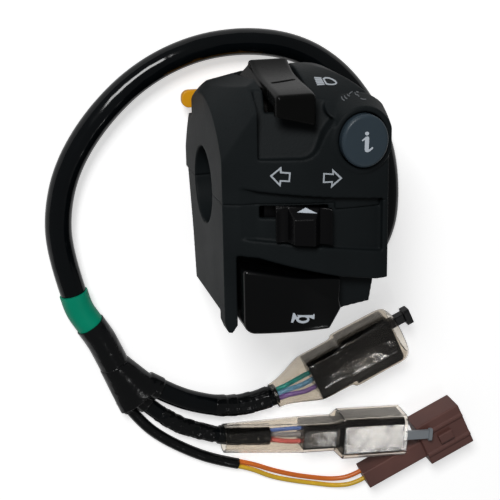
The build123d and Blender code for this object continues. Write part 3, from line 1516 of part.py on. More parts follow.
b_place = (conn_b_x, conn_b_y)
b_half = conn_b_length / 2
b_body_width = conn_b_width - 2 * (sheath_wall + sheath_gap)
b_body_height = conn_b_height - 2 * (sheath_wall + sheath_gap)
b_rear_end = -b_half - conn_b_rear_length
with BuildPart() as conn_b_body:
    with BuildSketch(end_plane(b_place, conn_b_angle, -b_half, conn_b_height)):
        RectangleRounded(b_body_width, b_body_height, conn_b_round - sheath_wall)
    extrude(amount=conn_b_length - sheath_wall)
    with BuildSketch(end_plane(b_place, conn_b_angle, b_rear_end, conn_b_rear_height + 2 * (sheath_wall + sheath_gap))):
        RectangleRounded(conn_b_rear_width, conn_b_rear_height, conn_b_rear_round)
    extrude(amount=conn_b_rear_length + conn_a_socket_wall)
    with BuildSketch(end_plane(b_place, conn_b_angle, b_half - conn_a_socket_depth, conn_b_height)):
        Rectangle(b_body_width - 2 * conn_a_socket_wall, b_body_height - 2 * conn_a_socket_wall)
    extrude(amount=overrun, mode=Mode.SUBTRACT)
conn_b_body.part.label = "conn_b_body"


def b_shell(inset):
    """The long sheath of connector B as a solid, drawn in by its wall."""
    rear_width = conn_b_rear_width + 2 * (sheath_wall + sheath_gap)
    rear_height = conn_b_rear_height + 2 * (sheath_wall + sheath_gap)
    neck_end = b_rear_end - neck_length
    mouth = overrun / 10 if inset else 0
    sections = (
        (neck_end - mouth, neck_width, neck_width, neck_round),
        (b_rear_end, rear_width, rear_height, conn_b_round),
        (-b_half - conn_b_taper, rear_width, rear_height, conn_b_round),
        (-b_half, conn_b_width, conn_b_height, conn_b_round),
        (b_half + mouth, conn_b_width, conn_b_height, conn_b_round),
    )
    with BuildPart() as form:
        for near, far in zip(sections, sections[1:]):
            ends = []
            for reach, width, height, corner in (near, far):
                with BuildSketch(end_plane(b_place, conn_b_angle, reach, height)) as section:
                    RectangleRounded(width - 2 * inset, height - 2 * inset, corner - inset)
                ends.append(section.sketch)
            loft(ends, ruled=True)
    return form.part


b_outer = b_shell(0)
b_inner = b_shell(sheath_wall)
with BuildPart() as conn_b_sheath:
    add(b_outer)
    add(b_inner, mode=Mode.SUBTRACT)
conn_b_sheath.part.label = "conn_b_sheath"

b_mouth_plane = end_plane(b_place, conn_b_angle, b_half - sheath_wall, conn_b_height)
with BuildPart() as conn_b_tab:
    with BuildSketch(b_mouth_plane):
        with Locations((0, tab_z - conn_b_height / 2)):
            Rectangle(tab_width, tab_thickness)
    extrude(amount=tab_length)
    with BuildSketch(b_mouth_plane.offset(tab_length - tab_thickness)):
        with Locations((0, tab_z + tab_thickness / 4 - conn_b_height / 2)):
            RectangleRounded(tab_width + tab_thickness, 3 * tab_thickness / 2, small_round)
    extrude(amount=tab_thickness)
conn_b_tab.part.label = "conn_b_tab"

c_place = (conn_c_x, conn_c_y)
c_half = conn_c_length / 2
with BuildPart() as conn_c_body:
    with BuildSketch(end_plane(c_place, conn_c_angle, -c_half, conn_c_height)):
        RectangleRounded(conn_c_width, conn_c_height, small_round)
    extrude(amount=conn_c_length)
    with BuildSketch(end_plane(c_place, conn_c_angle, -c_half - conn_c_rear_length, conn_c_rear_height)):
        with Locations((-conn_c_rear_offset, 0)):
            RectangleRounded(conn_c_rear_width, conn_c_rear_height, small_round)
    extrude(amount=conn_c_rear_length + small_round)
    with BuildSketch(end_plane(c_place, conn_c_angle, -c_half, conn_c_height)):
        with Locations((0, conn_c_height / 2 + conn_c_rib_height / 2 - small_round / 2)):
            with GridLocations(conn_c_width / 2, conn_c_width, 2, 1):
                Rectangle(conn_c_rib_width, conn_c_rib_height + small_round)
    extrude(amount=conn_c_length)
    with BuildSketch(end_plane(c_place, conn_c_angle, c_half - conn_c_socket_depth, conn_c_height)):
        Rectangle(conn_c_width - 2 * conn_c_socket_wall, conn_c_height - 2 * conn_c_socket_wall)
    extrude(amount=overrun, mode=Mode.SUBTRACT)
conn_c_body.part.label = "conn_c_body"

with BuildPart() as conn_c_lock:
    with BuildSketch(end_plane(c_place, conn_c_angle, -lock_length / 2, conn_c_height)):
        with Locations((0, conn_c_height / 2 + lock_height / 2)):
            RectangleRounded(lock_width, lock_height, small_round)
    extrude(amount=lock_length)
conn_c_lock.part.label = "conn_c_lock"

os.makedirs("parts", exist_ok=True)
export_step(upper_case.part, "parts/upper_case.step")
export_step(lower_case.part, "parts/lower_case.step")
export_step(case_screws, "parts/case_screws.step")
export_step(beam_base.part, "parts/beam_base.step")
export_step(beam_base_screws, "parts/beam_base_screws.step")
export_step(beam_pin.part, "parts/beam_pin.step")
export_step(beam_lever.part, "parts/beam_lever.step")
export_step(beam_detent_ball, "parts/beam_detent_ball.step")
export_step(beam_detent_spring, "parts/beam_detent_spring.step")
export_step(info_button.part, "parts/info_button.step")
export_step(info_spring, "parts/info_spring.step")
export_step(info_switch.part, "parts/info_switch.step")
export_step(info_plate.part, "parts/info_plate.step")
export_step(info_plate_screws, "parts/info_plate_screws.step")
export_step(turn_slider.part, "parts/turn_slider.step")
export_step(turn_detent_ball, "parts/turn_detent_ball.step")
export_step(turn_detent_spring, "parts/turn_detent_spring.step")
export_step(turn_knob.part, "parts/turn_knob.step")
export_step(knob_spring, "parts/knob_spring.step")
export_step(turn_base.part, "parts/turn_base.step")
export_step(turn_contacts.part, "parts/turn_contacts.step")
export_step(horn_button.part, "parts/horn_button.step")
export_step(horn_clip.part, "parts/horn_clip.step")
export_step(horn_spring, "parts/horn_spring.step")
export_step(horn_base.part, "parts/horn_base.step")
export_step(horn_contact.part, "parts/horn_contact.step")
export_step(horn_base_screws, "parts/horn_base_screws.step")
export_step(pass_trigger.part, "parts/pass_trigger.step")
export_step(trigger_pin.part, "parts/trigger_pin.step")
export_step(trigger_spring, "parts/trigger_spring.step")
export_step(pass_switch, "parts/pass_switch.step")
export_step(cable_gland.part, "parts/cable_gland.step")
export_step(trunk_sleeve, "parts/trunk_sleeve.step")
export_step(green_band, "parts/green_band.step")
export_step(trunk_tape, "parts/trunk_tape.step")
export_step(breakout.part, "parts/breakout.step")
export_step(branch_a, "parts/branch_a.step")
export_step(branch_b, "parts/branch_b.step")
export_step(branch_c, "parts/branch_c.step")
for wire in wires:
    export_step(wire, f"parts/{wire.label}.step")
export_step(conn_a_body.part, "parts/conn_a_body.step")
export_step(conn_a_sheath.part, "parts/conn_a_sheath.step")
export_step(conn_a_latch.part, "parts/conn_a_latch.step")
export_step(conn_b_body.part, "parts/conn_b_body.step")
export_step(conn_b_sheath.part, "parts/conn_b_sheath.step")
export_step(conn_b_tab.part, "parts/conn_b_tab.step")
export_step(conn_c_body.part, "parts/conn_c_body.step")
export_step(conn_c_lock.part, "parts/conn_c_lock.step")
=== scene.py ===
"""A left handlebar switch cluster with its harness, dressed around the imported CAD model."""
import math

import bmesh
import bpy
from mathutils import Matrix, Vector
from mathutils.bvhtree import BVHTree


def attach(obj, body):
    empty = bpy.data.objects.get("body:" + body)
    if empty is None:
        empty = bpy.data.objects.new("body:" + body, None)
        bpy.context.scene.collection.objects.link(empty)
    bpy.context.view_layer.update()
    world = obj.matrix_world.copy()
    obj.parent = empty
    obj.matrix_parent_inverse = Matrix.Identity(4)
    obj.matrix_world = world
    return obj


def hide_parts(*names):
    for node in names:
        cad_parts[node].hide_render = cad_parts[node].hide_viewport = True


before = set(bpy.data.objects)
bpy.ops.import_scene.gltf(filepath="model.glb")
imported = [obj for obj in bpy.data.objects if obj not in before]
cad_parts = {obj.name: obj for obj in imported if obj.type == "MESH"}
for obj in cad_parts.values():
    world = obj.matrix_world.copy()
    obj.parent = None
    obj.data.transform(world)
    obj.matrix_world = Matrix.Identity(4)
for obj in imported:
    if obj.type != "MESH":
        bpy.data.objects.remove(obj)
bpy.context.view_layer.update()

MM = 0.001
FLOOR_Z = -24.5 * MM
MERGE_WITHIN = 0.002 * MM
SHARP_CORNER = math.radians(35)
HOUSING = "housing"


# ---------------------------------------------------------------- bench tools
def metres(points):
    return [Vector(point) * MM for point in points]


def placed(name, data):
    """A new object, put into the scene."""
    thing = bpy.data.objects.new(name, data)
    bpy.context.scene.collection.objects.link(thing)
    return thing


def take_up(piece):
    """The operators that follow act on this piece alone."""
    bpy.ops.object.select_all(action="DESELECT")
    piece.select_set(True)
    bpy.context.view_layer.objects.active = piece


def edit_all():
    bpy.ops.object.mode_set(mode="EDIT")
    bpy.ops.mesh.select_all(action="SELECT")


def merge_doubles():
    """The loose triangles of the active piece are joined at their shared corners."""
    edit_all()
    bpy.ops.mesh.remove_doubles(threshold=MERGE_WITHIN)
    bpy.ops.object.mode_set(mode="OBJECT")


def work(piece, kind, **settings):
    """Adds a modifier to the active piece and applies it."""
    step = piece.modifiers.new(kind.lower(), kind)
    for setting, value in settings.items():
        setattr(step, setting, value)
    bpy.ops.object.modifier_apply(modifier=step.name)


def dress(piece, finish):
    piece.data.materials.clear()
    piece.data.materials.append(finish)


def crease_pattern(name, size):
    """A cloudy pattern that pushes a surface in and out."""
    pattern = bpy.data.textures.new(name, "CLOUDS")
    pattern.noise_scale = size
    return pattern


def set_inputs(node, values):
    for socket, value in values.items():
        node.inputs[socket].default_value = value


def math_node(nodes, operation, fixed):
    """A math node with the inputs that stay fixed filled in."""
    node = nodes.new("ShaderNodeMath")
    node.operation = operation
    set_inputs(node, fixed)
    return node


# ---------------------------------------------------------------- camera
EYE = Vector((-99.2, 93.4, 356.8)) * MM
AZIMUTH, ELEVATION, ROLL = (math.radians(angle) for angle in (14.2, 17.3, 1.0))
ahead = Vector((math.sin(AZIMUTH) * math.cos(ELEVATION), -math.sin(ELEVATION),
                -math.cos(AZIMUTH) * math.cos(ELEVATION)))
level = Vector((math.cos(AZIMUTH), 0, math.sin(AZIMUTH)))
above = level.cross(ahead)
right = level * math.cos(ROLL) - above * math.sin(ROLL)
upward = level * math.sin(ROLL) + above * math.cos(ROLL)
lens = bpy.data.cameras.new("camera")
lens.lens = 93.6
lens.sensor_width = 36
camera = placed("camera", lens)
turned = Matrix((right, upward, -ahead)).transposed()
camera.matrix_world = Matrix.Translation(EYE) @ turned.to_4x4()
bpy.context.scene.camera = camera

# ---------------------------------------------------------------- finishes
MOTTLE_SCALE = 55
MOTTLE_RANGE = (0.3, 0.7)
ROUGHNESS_SWING = 0.16
BUMP_STRENGTH = 0.6


def grain_group():
    """Fine moulded grain, with soft mottling of colour and roughness."""
    group = bpy.data.node_groups.new("moulded_grain", "ShaderNodeTree")
    for name in ("Scale", "Height", "Mottle", "Roughness"):
        group.interface.new_socket(name, in_out="INPUT", socket_type="NodeSocketFloat")
    group.interface.new_socket("Color", in_out="INPUT", socket_type="NodeSocketColor")
    group.interface.new_socket("Color", in_out="OUTPUT", socket_type="NodeSocketColor")
    group.interface.new_socket("Roughness", in_out="OUTPUT", socket_type="NodeSocketFloat")
    group.interface.new_socket("Height", in_out="OUTPUT", socket_type="NodeSocketFloat")
    nodes, links = group.nodes, group.links
    given = nodes.new("NodeGroupInput")
    out = nodes.new("NodeGroupOutput")
    place = nodes.new("ShaderNodeTexCoord")

    fine = nodes.new("ShaderNodeTexNoise")
    set_inputs(fine, {"Detail": 3})
    links.new(place.outputs["Object"], fine.inputs["Vector"])
    links.new(given.outputs["Scale"], fine.inputs["Scale"])
    lift = math_node(nodes, "MULTIPLY", {})
    links.new(fine.outputs["Fac"], lift.inputs[0])
    links.new(given.outputs["Height"], lift.inputs[1])
    links.new(lift.outputs["Value"], out.inputs["Height"])

    broad = nodes.new("ShaderNodeTexNoise")
    set_inputs(broad, {"Scale": MOTTLE_SCALE, "Detail": 4})
    links.new(place.outputs["Object"], broad.inputs["Vector"])
    lighter = nodes.new("ShaderNodeMapRange")
    set_inputs(lighter, {"From Min": MOTTLE_RANGE[0], "From Max": MOTTLE_RANGE[1], "To Min": 0})
    links.new(broad.outputs["Fac"], lighter.inputs["Value"])
    links.new(given.outputs["Mottle"], lighter.inputs["To Max"])
    shade = nodes.new("ShaderNodeMix")
    shade.data_type = "RGBA"
    shade.blend_type = "ADD"
    links.new(lighter.outputs["Result"], shade.inputs["Factor"])
    links.new(given.outputs["Color"], shade.inputs["A"])
    links.new(given.outputs["Color"], shade.inputs["B"])
    links.new(shade.outputs["Result"], out.inputs["Color"])

    vary = math_node(nodes, "MULTIPLY_ADD", {1: ROUGHNESS_SWING})
    links.new(broad.outputs["Fac"], vary.inputs[0])
    links.new(given.outputs["Roughness"], vary.inputs[2])
    links.new(vary.outputs["Value"], out.inputs["Roughness"])
    return group


GRAIN = grain_group()


def finish_of(name, colour, roughness=0.5, grain=0.1, grain_scale=1800, mottle=0.2, edge=0.0,
              metallic=0.0, transmission=0.0, ior=1.5, specular=0.5, depth=0.2 * MM):
    """A finish: moulded grain over a colour, with edges softened by a small radius."""
    material = bpy.data.materials.new(name)
    material.use_nodes = True
    nodes, links = material.node_tree.nodes, material.node_tree.links
    surface = nodes["Principled BSDF"]
    set_inputs(surface, {"Metallic": metallic, "Transmission Weight": transmission, "IOR": ior,
                         "Specular IOR Level": specular})
    effect = nodes.new("ShaderNodeGroup")
    effect.node_tree = GRAIN
    set_inputs(effect, {"Scale": grain_scale, "Height": grain, "Mottle": mottle,
                        "Roughness": roughness - ROUGHNESS_SWING / 2, "Color": (*colour, 1)})
    links.new(effect.outputs["Color"], surface.inputs["Base Color"])
    links.new(effect.outputs["Roughness"], surface.inputs["Roughness"])
    bump = nodes.new("ShaderNodeBump")
    set_inputs(bump, {"Distance": depth, "Strength": BUMP_STRENGTH})
    links.new(effect.outputs["Height"], bump.inputs["Height"])
    if edge:
        soften = nodes.new("ShaderNodeBevel")
        soften.samples = 4
        set_inputs(soften, {"Radius": edge})
        links.new(soften.outputs["Normal"], bump.inputs["Normal"])
    links.new(bump.outputs["Normal"], surface.inputs["Normal"])
    return material


def let_light_in(film, share):
    """What a clear film wraps is lit through it: shadow rays pass by this share."""
    nodes, links = film.node_tree.nodes, film.node_tree.links
    light = nodes.new("ShaderNodeLightPath")
    shade = math_node(nodes, "MULTIPLY_ADD", {1: -share, 2: 1})
    links.new(light.outputs["Is Shadow Ray"], shade.inputs[0])
    links.new(shade.outputs["Value"], nodes["Principled BSDF"].inputs["Alpha"])


CASE = finish_of("case_charcoal", (0.0080, 0.0102, 0.0112), roughness=0.52, grain=0.5,
                 mottle=0.25, edge=0.6 * MM, specular=0.09)
GLOSS = finish_of("gloss_black", (0.0012, 0.0014, 0.0016), roughness=0.14, grain=0.0, mottle=0.1,
                  edge=0.5 * MM, specular=0.3)
LEVER = finish_of("lever_black", (0.0030, 0.0031, 0.0030), roughness=0.26, grain=0.08, mottle=0.3,
                  edge=0.5 * MM, specular=0.10)
KNOB = finish_of("knob_black", (0.0020, 0.0020, 0.0024), roughness=0.32, grain=0.2,
                 edge=0.35 * MM, specular=0.2)
BUTTON = finish_of("slate_button", (0.029, 0.044, 0.057), roughness=0.36, grain=0.2,
                   edge=0.3 * MM, specular=0.3)
AMBER = finish_of("amber_trigger", (0.82, 0.37, 0.008), roughness=0.35, edge=0.4 * MM)
STEEL = finish_of("plated_steel", (0.42, 0.42, 0.43), roughness=0.34, grain=0.2, metallic=1.0)
BRASS = finish_of("contact_brass", (0.60, 0.42, 0.18), roughness=0.3, metallic=1.0)
# The insulating bases inside the housing are coloured near-black instead of their own cream:
# painted shade for the dark inside of the case, seen through its gaps.
SHADED_INSULATOR = finish_of("insulator_painted_shade", (0.012, 0.011, 0.010), roughness=0.6, grain=0.2,
                      specular=0.2)
SLEEVE = finish_of("glossy_sleeve", (0.0018, 0.0027, 0.0034), roughness=0.11, grain=0.6,
                   grain_scale=48, mottle=0.3, specular=0.28, depth=2 * MM)
TAPE = finish_of("wrapped_tape", (0.0030, 0.0034, 0.0038), roughness=0.2, grain=0.6,
                 grain_scale=120, mottle=0.3, specular=0.35, depth=2 * MM)
GREEN = finish_of("green_tape", (0.0004, 0.285, 0.165), roughness=0.42, grain=0.6,
                  grain_scale=420, mottle=0.35, specular=0.2)
CLEAR = finish_of("clear_film", (0.72, 0.67, 0.60), roughness=0.11, grain=1.0, grain_scale=170,
                  transmission=1.0, ior=1.42)
let_light_in(CLEAR, 0.85)
PLUG = finish_of("plug_black", (0.0022, 0.0022, 0.0028), roughness=0.22, grain=0.04,
                 edge=0.3 * MM, specular=0.4)
BROWN = finish_of("plug_brown", (0.115, 0.051, 0.043), roughness=0.4, grain=0.25, mottle=0.35,
                  edge=0.35 * MM, specular=0.25)
GREY = finish_of("grey_tab", (0.20, 0.22, 0.24), roughness=0.35, grain=0.2)
PRINT = finish_of("pale_print", (0.44, 0.48, 0.52), roughness=0.6, mottle=0.1)
FAINT = finish_of("faint_print", (0.11, 0.12, 0.13), roughness=0.6, mottle=0.1)
WHITE = finish_of("white_print", (0.55, 0.60, 0.66), roughness=0.6, mottle=0.1)
WIRE_COLOURS = {
    "wire_a_1": ("teal_wire", (0.02, 0.42, 0.40)),
    "wire_a_2": ("sky_wire", (0.20, 0.48, 0.80)),
    "wire_a_3": ("violet_wire", (0.26, 0.14, 0.50)),
    "wire_b_1": ("blue_wire", (0.10, 0.18, 0.50)),
    "wire_b_2": ("grey_wire", (0.25, 0.25, 0.27)),
    "wire_b_3": ("red_wire", (0.60, 0.13, 0.12)),
    "wire_c_yellow": ("yellow_wire", (0.75, 0.47, 0.03)),
    "wire_c_orange": ("orange_wire", (0.70, 0.16, 0.02)),
}
WIRES = {wire: finish_of(name, colour, roughness=0.35)
         for wire, (name, colour) in WIRE_COLOURS.items()}
FINISHES = {
    "upper_case": CASE, "lower_case": CASE, "beam_lever": LEVER, "horn_button": GLOSS,
    "turn_knob": KNOB, "turn_slider": KNOB, "info_button": BUTTON, "pass_trigger": AMBER,
    "cable_gland": SLEEVE, "green_band": GREEN, "trunk_tape": TAPE, "breakout": TAPE,
    "conn_a_body": PLUG, "conn_a_latch": PLUG, "conn_b_body": PLUG, "conn_b_tab": GREY,
    "conn_a_sheath": CLEAR, "conn_b_sheath": CLEAR, "conn_c_body": BROWN, "conn_c_lock": BROWN,
    # The inner bases and plate take the insulator finish with its painted shade.
    "beam_base": SHADED_INSULATOR, "turn_base": SHADED_INSULATOR, "horn_base": SHADED_INSULATOR,
    "info_plate": SHADED_INSULATOR, "info_switch": PLUG, "pass_switch": PLUG, "turn_contacts": BRASS,
    "horn_contact": BRASS,
}
for name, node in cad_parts.items():
    dress(node, WIRES.get(name) or FINISHES.get(name, STEEL))


# ---------------------------------------------------------------- cords
def round_curve(name, kind, route, radius):
    """A round, closed curve along a route."""
    curve = bpy.data.curves.new(name, "CURVE")
    curve.dimensions = "3D"
    curve.bevel_depth = radius
    curve.bevel_resolution = 7
    curve.use_fill_caps = True
    spline = curve.splines.new(kind)
    spline.points.add(len(route) - 1)
    for point, place in zip(spline.points, route):
        point.co = (*place, 1)
    return curve, spline


def cord(name, route, diameter, material, replaced):
    """A round cord on a smooth line through its route."""
    curve, spline = round_curve(name, "NURBS", route, diameter / 2)
    curve.resolution_u = 16
    spline.order_u = 3
    spline.use_endpoint_u = True
    curve.materials.append(material)
    piece = placed(name, curve)
    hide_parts(replaced)
    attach(piece, HOUSING)
    return piece


TRUNK = metres((
    (-12.5, -9.0, -19.8), (-12.5, -23.1, -19.8), (-5.56, -35.37, -20.3), (6.53, -42.63, -20.5),
    (20.62, -43.0, -20.5), (33.07, -36.38, -20.5), (40.65, -24.49, -20.5), (41.5, -10.4, -20.5),
    (39.4, 3.0, -20.5), (33.6, 15.6, -20.5), (24.4, 27.2, -20.5), (12.0, 35.0, -20.5),
    (-3.6, 38.0, -20.5), (-20.5, 36.3, -20.5), (-36.5, 29.2, -20.5), (-49.8, 17.3, -20.5),
    (-59.3, 3.2, -20.5), (-63.2, -11.5, -20.5), (-62.6, -24.5, -20.5), (-59.6, -36.2, -20.5),
))
BRANCH_A = metres((
    (-34.2, -71.3, -21.1), (-28.8, -74.8, -21.1), (-21.8, -77.8, -21.1), (-14.0, -80.0, -21.1),
    (-4.6, -80.5, -21.1), (4.6, -78.04, -21.1),
))
BRANCH_B = metres((
    (-38.2, -76.5, -21.9), (-33.6, -81.1, -21.9), (-27.1, -85.6, -21.9), (-19.3, -89.0, -21.5),
    (-10.5, -90.89, -20.7), (-0.9, -91.8, -20.7),
))
BRANCH_C = metres((
    (-43.5, -78.0, -22.7), (-39.6, -83.7, -22.7), (-33.2, -89.6, -22.7), (-24.6, -95.3, -22.7),
    (-16.2, -99.6, -22.7), (-8.6, -102.1, -22.7),
))
YELLOW = metres((
    (-8.87, -102.91, -22.7), (-4.12, -104.47, -22.7), (2.6, -108.8, -23.5), (10.6, -111.6, -23.6),
    (18.6, -113.8, -23.6), (25.2, -115.4, -23.2), (31.28, -114.9, -21.6), (35.12, -113.2, -21.6),
))
ORANGE_WIRE = metres((
    (-8.33, -101.29, -22.7), (-3.58, -102.85, -22.7), (3.4, -106.6, -23.5), (11.2, -109.6, -23.6),
    (18.4, -111.6, -23.6), (24.4, -112.8, -23.2), (29.98, -112.0, -21.6), (33.82, -110.3, -21.6),
))
trunk = cord("trunk", TRUNK, 8.0 * MM, SLEEVE, "trunk_sleeve")
arm_a = cord("arm_a", BRANCH_A, 6.8 * MM, SLEEVE, "branch_a")
arm_b = cord("arm_b", BRANCH_B, 5.2 * MM, SLEEVE, "branch_b")
arm_c = cord("arm_c", BRANCH_C, 3.6 * MM, TAPE, "branch_c")
yellow = cord("yellow_lead", YELLOW, 1.6 * MM, WIRES["wire_c_yellow"],
              "wire_c_yellow")
orange = cord("orange_lead", ORANGE_WIRE, 1.6 * MM, WIRES["wire_c_orange"],
              "wire_c_orange")

# ---------------------------------------------------------------- printed marks
# Each mark is drawn on a sheet of its own: the sheet's scale, then its left and top in the frame.
UPPER_SHEET = (7.127, 180, 50)
LOWER_SHEET = (7.127, 180, 190)
INFO_SHEET = (20, 355, 120)
HORN_SHEET = (30, 284, 308)
FRAME_CENTRE = 250
FOCAL_PIXELS = 1300
PRINT_LIFT = 0.09 * MM
PRINT_THICKNESS = 0.12 * MM
OVAL_CORNERS = 24


def stroke(points, width):
    """The outline of a line of even width drawn through points."""
    near, far = [], []
    for number, point in enumerate(points):
        before = points[max(number - 1, 0)]
        after = points[min(number + 1, len(points) - 1)]
        run = Vector((after[0] - before[0], after[1] - before[1])).normalized()
        side = Vector((-run.y, run.x)) * width / 2
        near.append((point[0] + side.x, point[1] + side.y))
        far.append((point[0] - side.x, point[1] - side.y))
    return near + far[::-1]


def oval(centre, radii):
    turns = [2 * math.pi * step / OVAL_CORNERS for step in range(OVAL_CORNERS)]
    return [tuple(Vector((radii[0] * math.cos(turn), radii[1] * math.sin(turn))) + Vector(centre))
            for turn in turns]


def printed(name, groups, carrier, finish, sheet, body):
    """A thin print: flat outlines seen from the camera, laid on the surface that carries them."""
    scale, left, top = sheet
    parts = []
    bpy.ops.object.select_all(action="DESELECT")
    for group in groups:
        curve = bpy.data.curves.new(name, "CURVE")
        curve.dimensions = "2D"
        curve.fill_mode = "BOTH"
        for outline in group:
            spline = curve.splines.new("POLY")
            spline.points.add(len(outline) - 1)
            for point, place in zip(spline.points, outline):
                point.co = (place[0] / scale + left, place[1] / scale + top, 0, 1)
            spline.use_cyclic_u = True
        part = placed(name, curve)
        part.select_set(True)
        parts.append(part)
    bpy.context.view_layer.objects.active = parts[0]
    bpy.ops.object.convert(target="MESH")
    bpy.ops.object.join()
    piece = bpy.context.object
    piece.name = name
    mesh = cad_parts[carrier].data
    tree = BVHTree.FromPolygons([vertex.co for vertex in mesh.vertices],
                                [face.vertices for face in mesh.polygons])
    for vertex in piece.data.vertices:
        across = right * (vertex.co.x - FRAME_CENTRE) / FOCAL_PIXELS
        down = upward * (vertex.co.y - FRAME_CENTRE) / FOCAL_PIXELS
        place, normal, _, _ = tree.ray_cast(EYE, (across - down + ahead).normalized())
        vertex.co = place + normal * PRINT_LIFT
    merge_doubles()
    total = sum((face.normal * face.area for face in piece.data.polygons), Vector())
    if total.dot(ahead) > 0:
        piece.data.flip_normals()
    work(piece, "SOLIDIFY", thickness=PRINT_THICKNESS, offset=-1)
    dress(piece, finish)
    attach(piece, body)


arrow_left = [
    [(640, 897), (722, 830), (726, 867), (789, 872), (784, 941), (722, 938), (716, 976)],
    [(658, 898), (710, 855), (713, 878), (777, 883), (774, 930), (711, 927), (706, 950)],
]
arrow_right = [
    [(1157, 913), (1084, 845), (1086, 880), (1021, 876), (1018, 948), (1080, 945), (1074, 986)],
    [(1139, 914), (1095, 870), (1097, 891), (1032, 887), (1029, 937), (1090, 934), (1085, 959)],
]
beam_glass = [
    [(1016, 203), (1036, 194), (1062, 196), (1090, 207), (1112, 222), (1120, 236), (1112, 247),
     (1086, 251), (1058, 250), (1040, 246), (1028, 226)],
    [(1029, 208), (1042, 203), (1062, 205), (1086, 215), (1104, 228), (1109, 236), (1103, 240),
     (1082, 243), (1060, 242), (1047, 238), (1038, 224)],
]
beam_rays = [[stroke([(956 + 5 * row, 198 + 12.5 * row), (1007 + 6 * row, 201 + 11 * row)], 8.5)]
             for row in range(5)]
voice_waves = [
    [stroke([(1151, 333), (1157, 350), (1173, 361)], 7)],
    [stroke([(1171, 325), (1178, 340), (1192, 349)], 7)],
    [stroke([(1192, 316), (1199, 326), (1211, 330)], 6)],
    [stroke([(1205, 318), (1216, 304), (1229, 297)], 6)],
    [stroke([(1246, 303), (1252, 318), (1267, 322), (1277, 333)], 6)],
    [stroke([(1256, 297), (1272, 302)], 6)],
    [stroke([(1287, 345), (1306, 353), (1327, 352)], 5)],
]
letter_i = [
    [(138, 402), (222, 333), (262, 328), (282, 345), (280, 420), (272, 590), (292, 585),
     (344, 538), (360, 545), (358, 572), (300, 622), (262, 642), (226, 642), (200, 625),
     (192, 595), (196, 480), (198, 392), (156, 424), (140, 418)],
]
dot_of_i = [oval((240, 270), (41, 38))]
knob_pointer = [[(834, 161), (896, 127), (978, 168)]]
horn_back = [
    [(272, 150), (320, 150), (352, 208), (392, 268), (365, 345), (338, 325), (300, 375),
     (268, 440), (212, 432)],
]
horn_tube = [
    [(392, 195), (425, 212), (868, 212), (885, 182), (915, 182), (905, 330), (850, 322),
     (815, 300), (740, 280), (430, 262)],
]
horn_loop = [oval((560, 336), (200, 120)), oval((568, 328), (128, 60))]
printed("turn_left_mark", [arrow_left], "upper_case", PRINT, UPPER_SHEET, HOUSING)
printed("turn_right_mark", [arrow_right], "upper_case", PRINT, UPPER_SHEET, HOUSING)
printed("beam_mark", [beam_glass, *beam_rays], "upper_case", PRINT, UPPER_SHEET, HOUSING)
printed("voice_mark", voice_waves, "upper_case", FAINT, UPPER_SHEET, HOUSING)
printed("info_mark", [dot_of_i, letter_i], "info_button", WHITE, INFO_SHEET, "info_button")
printed("knob_mark", [knob_pointer], "turn_knob", WHITE, LOWER_SHEET, "turn_knob")
printed("horn_mark", [horn_back, horn_tube, horn_loop], "horn_button", WHITE, HORN_SHEET,
        "horn_button")

# ---------------------------------------------------------------- smooth copies of moulded pieces
BODY_OF = {"beam_lever": "beam_lever", "info_button": "info_button", "turn_knob": "turn_knob",
           "horn_button": "horn_button", "pass_trigger": "pass_trigger"}
MOST_FACES = 85000


def smooth_copy(node, name, finish, grain=0.0, passes=0):
    """A moulded piece with its curved faces smooth. Where a grain is given, its edges are rounded
    off: the piece is cast in cubes of that size, and worn down in passes."""
    piece = placed(name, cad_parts[node].data.copy())
    take_up(piece)
    merge_doubles()
    if grain:
        work(piece, "REMESH", mode="VOXEL", voxel_size=grain)
        work(piece, "SMOOTH", iterations=passes)
        if len(piece.data.polygons) > MOST_FACES:
            work(piece, "DECIMATE", ratio=MOST_FACES / len(piece.data.polygons))
        bpy.ops.object.shade_smooth()
    else:
        bpy.ops.object.shade_smooth_by_angle(angle=SHARP_CORNER)
        work(piece, "WEIGHTED_NORMAL", weight=100, keep_sharp=True)
    dress(piece, finish)
    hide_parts(node)
    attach(piece, BODY_OF.get(node, HOUSING))


smooth_copy("upper_case", "upper_shell", CASE, 0.3 * MM, 6)
smooth_copy("lower_case", "lower_shell", CASE, 0.3 * MM, 6)
smooth_copy("beam_lever", "beam_thumb_lever", LEVER, 0.18 * MM, 8)
smooth_copy("horn_button", "horn_push", GLOSS, 0.2 * MM, 14)
smooth_copy("turn_knob", "turn_thumb_knob", KNOB, 0.14 * MM, 8)
smooth_copy("info_button", "info_push", BUTTON)
smooth_copy("pass_trigger", "pass_finger", AMBER, 0.16 * MM, 10)
smooth_copy("conn_b_body", "plug_b_block", PLUG, 0.2 * MM, 8)
smooth_copy("conn_c_body", "plug_c_block", BROWN, 0.2 * MM, 6)
smooth_copy("conn_c_lock", "plug_c_lock", BROWN, 0.1 * MM, 6)
smooth_copy("conn_a_latch", "plug_a_latch", PLUG, 0.1 * MM, 6)
smooth_copy("conn_b_tab", "plug_b_tab", GREY, 0.1 * MM, 5)
smooth_copy("breakout", "breakout_wrap", TAPE, 0.25 * MM, 14)

# ---------------------------------------------------------------- tape wound over the branches
TAPE_CREASES = crease_pattern("tape_creases", 3 * MM)
TAPE_GRAIN = 0.2 * MM
LAP_RISE = 0.07


def line_of(piece):
    """Points along a cord's own smooth line."""
    bare = bpy.data.objects.new("bare_line", piece.data.copy())
    bare.data.bevel_depth = 0
    line = bpy.data.meshes.new_from_object(bare)
    points = [vertex.co.copy() for vertex in line.vertices]
    bpy.data.objects.remove(bare)
    return points


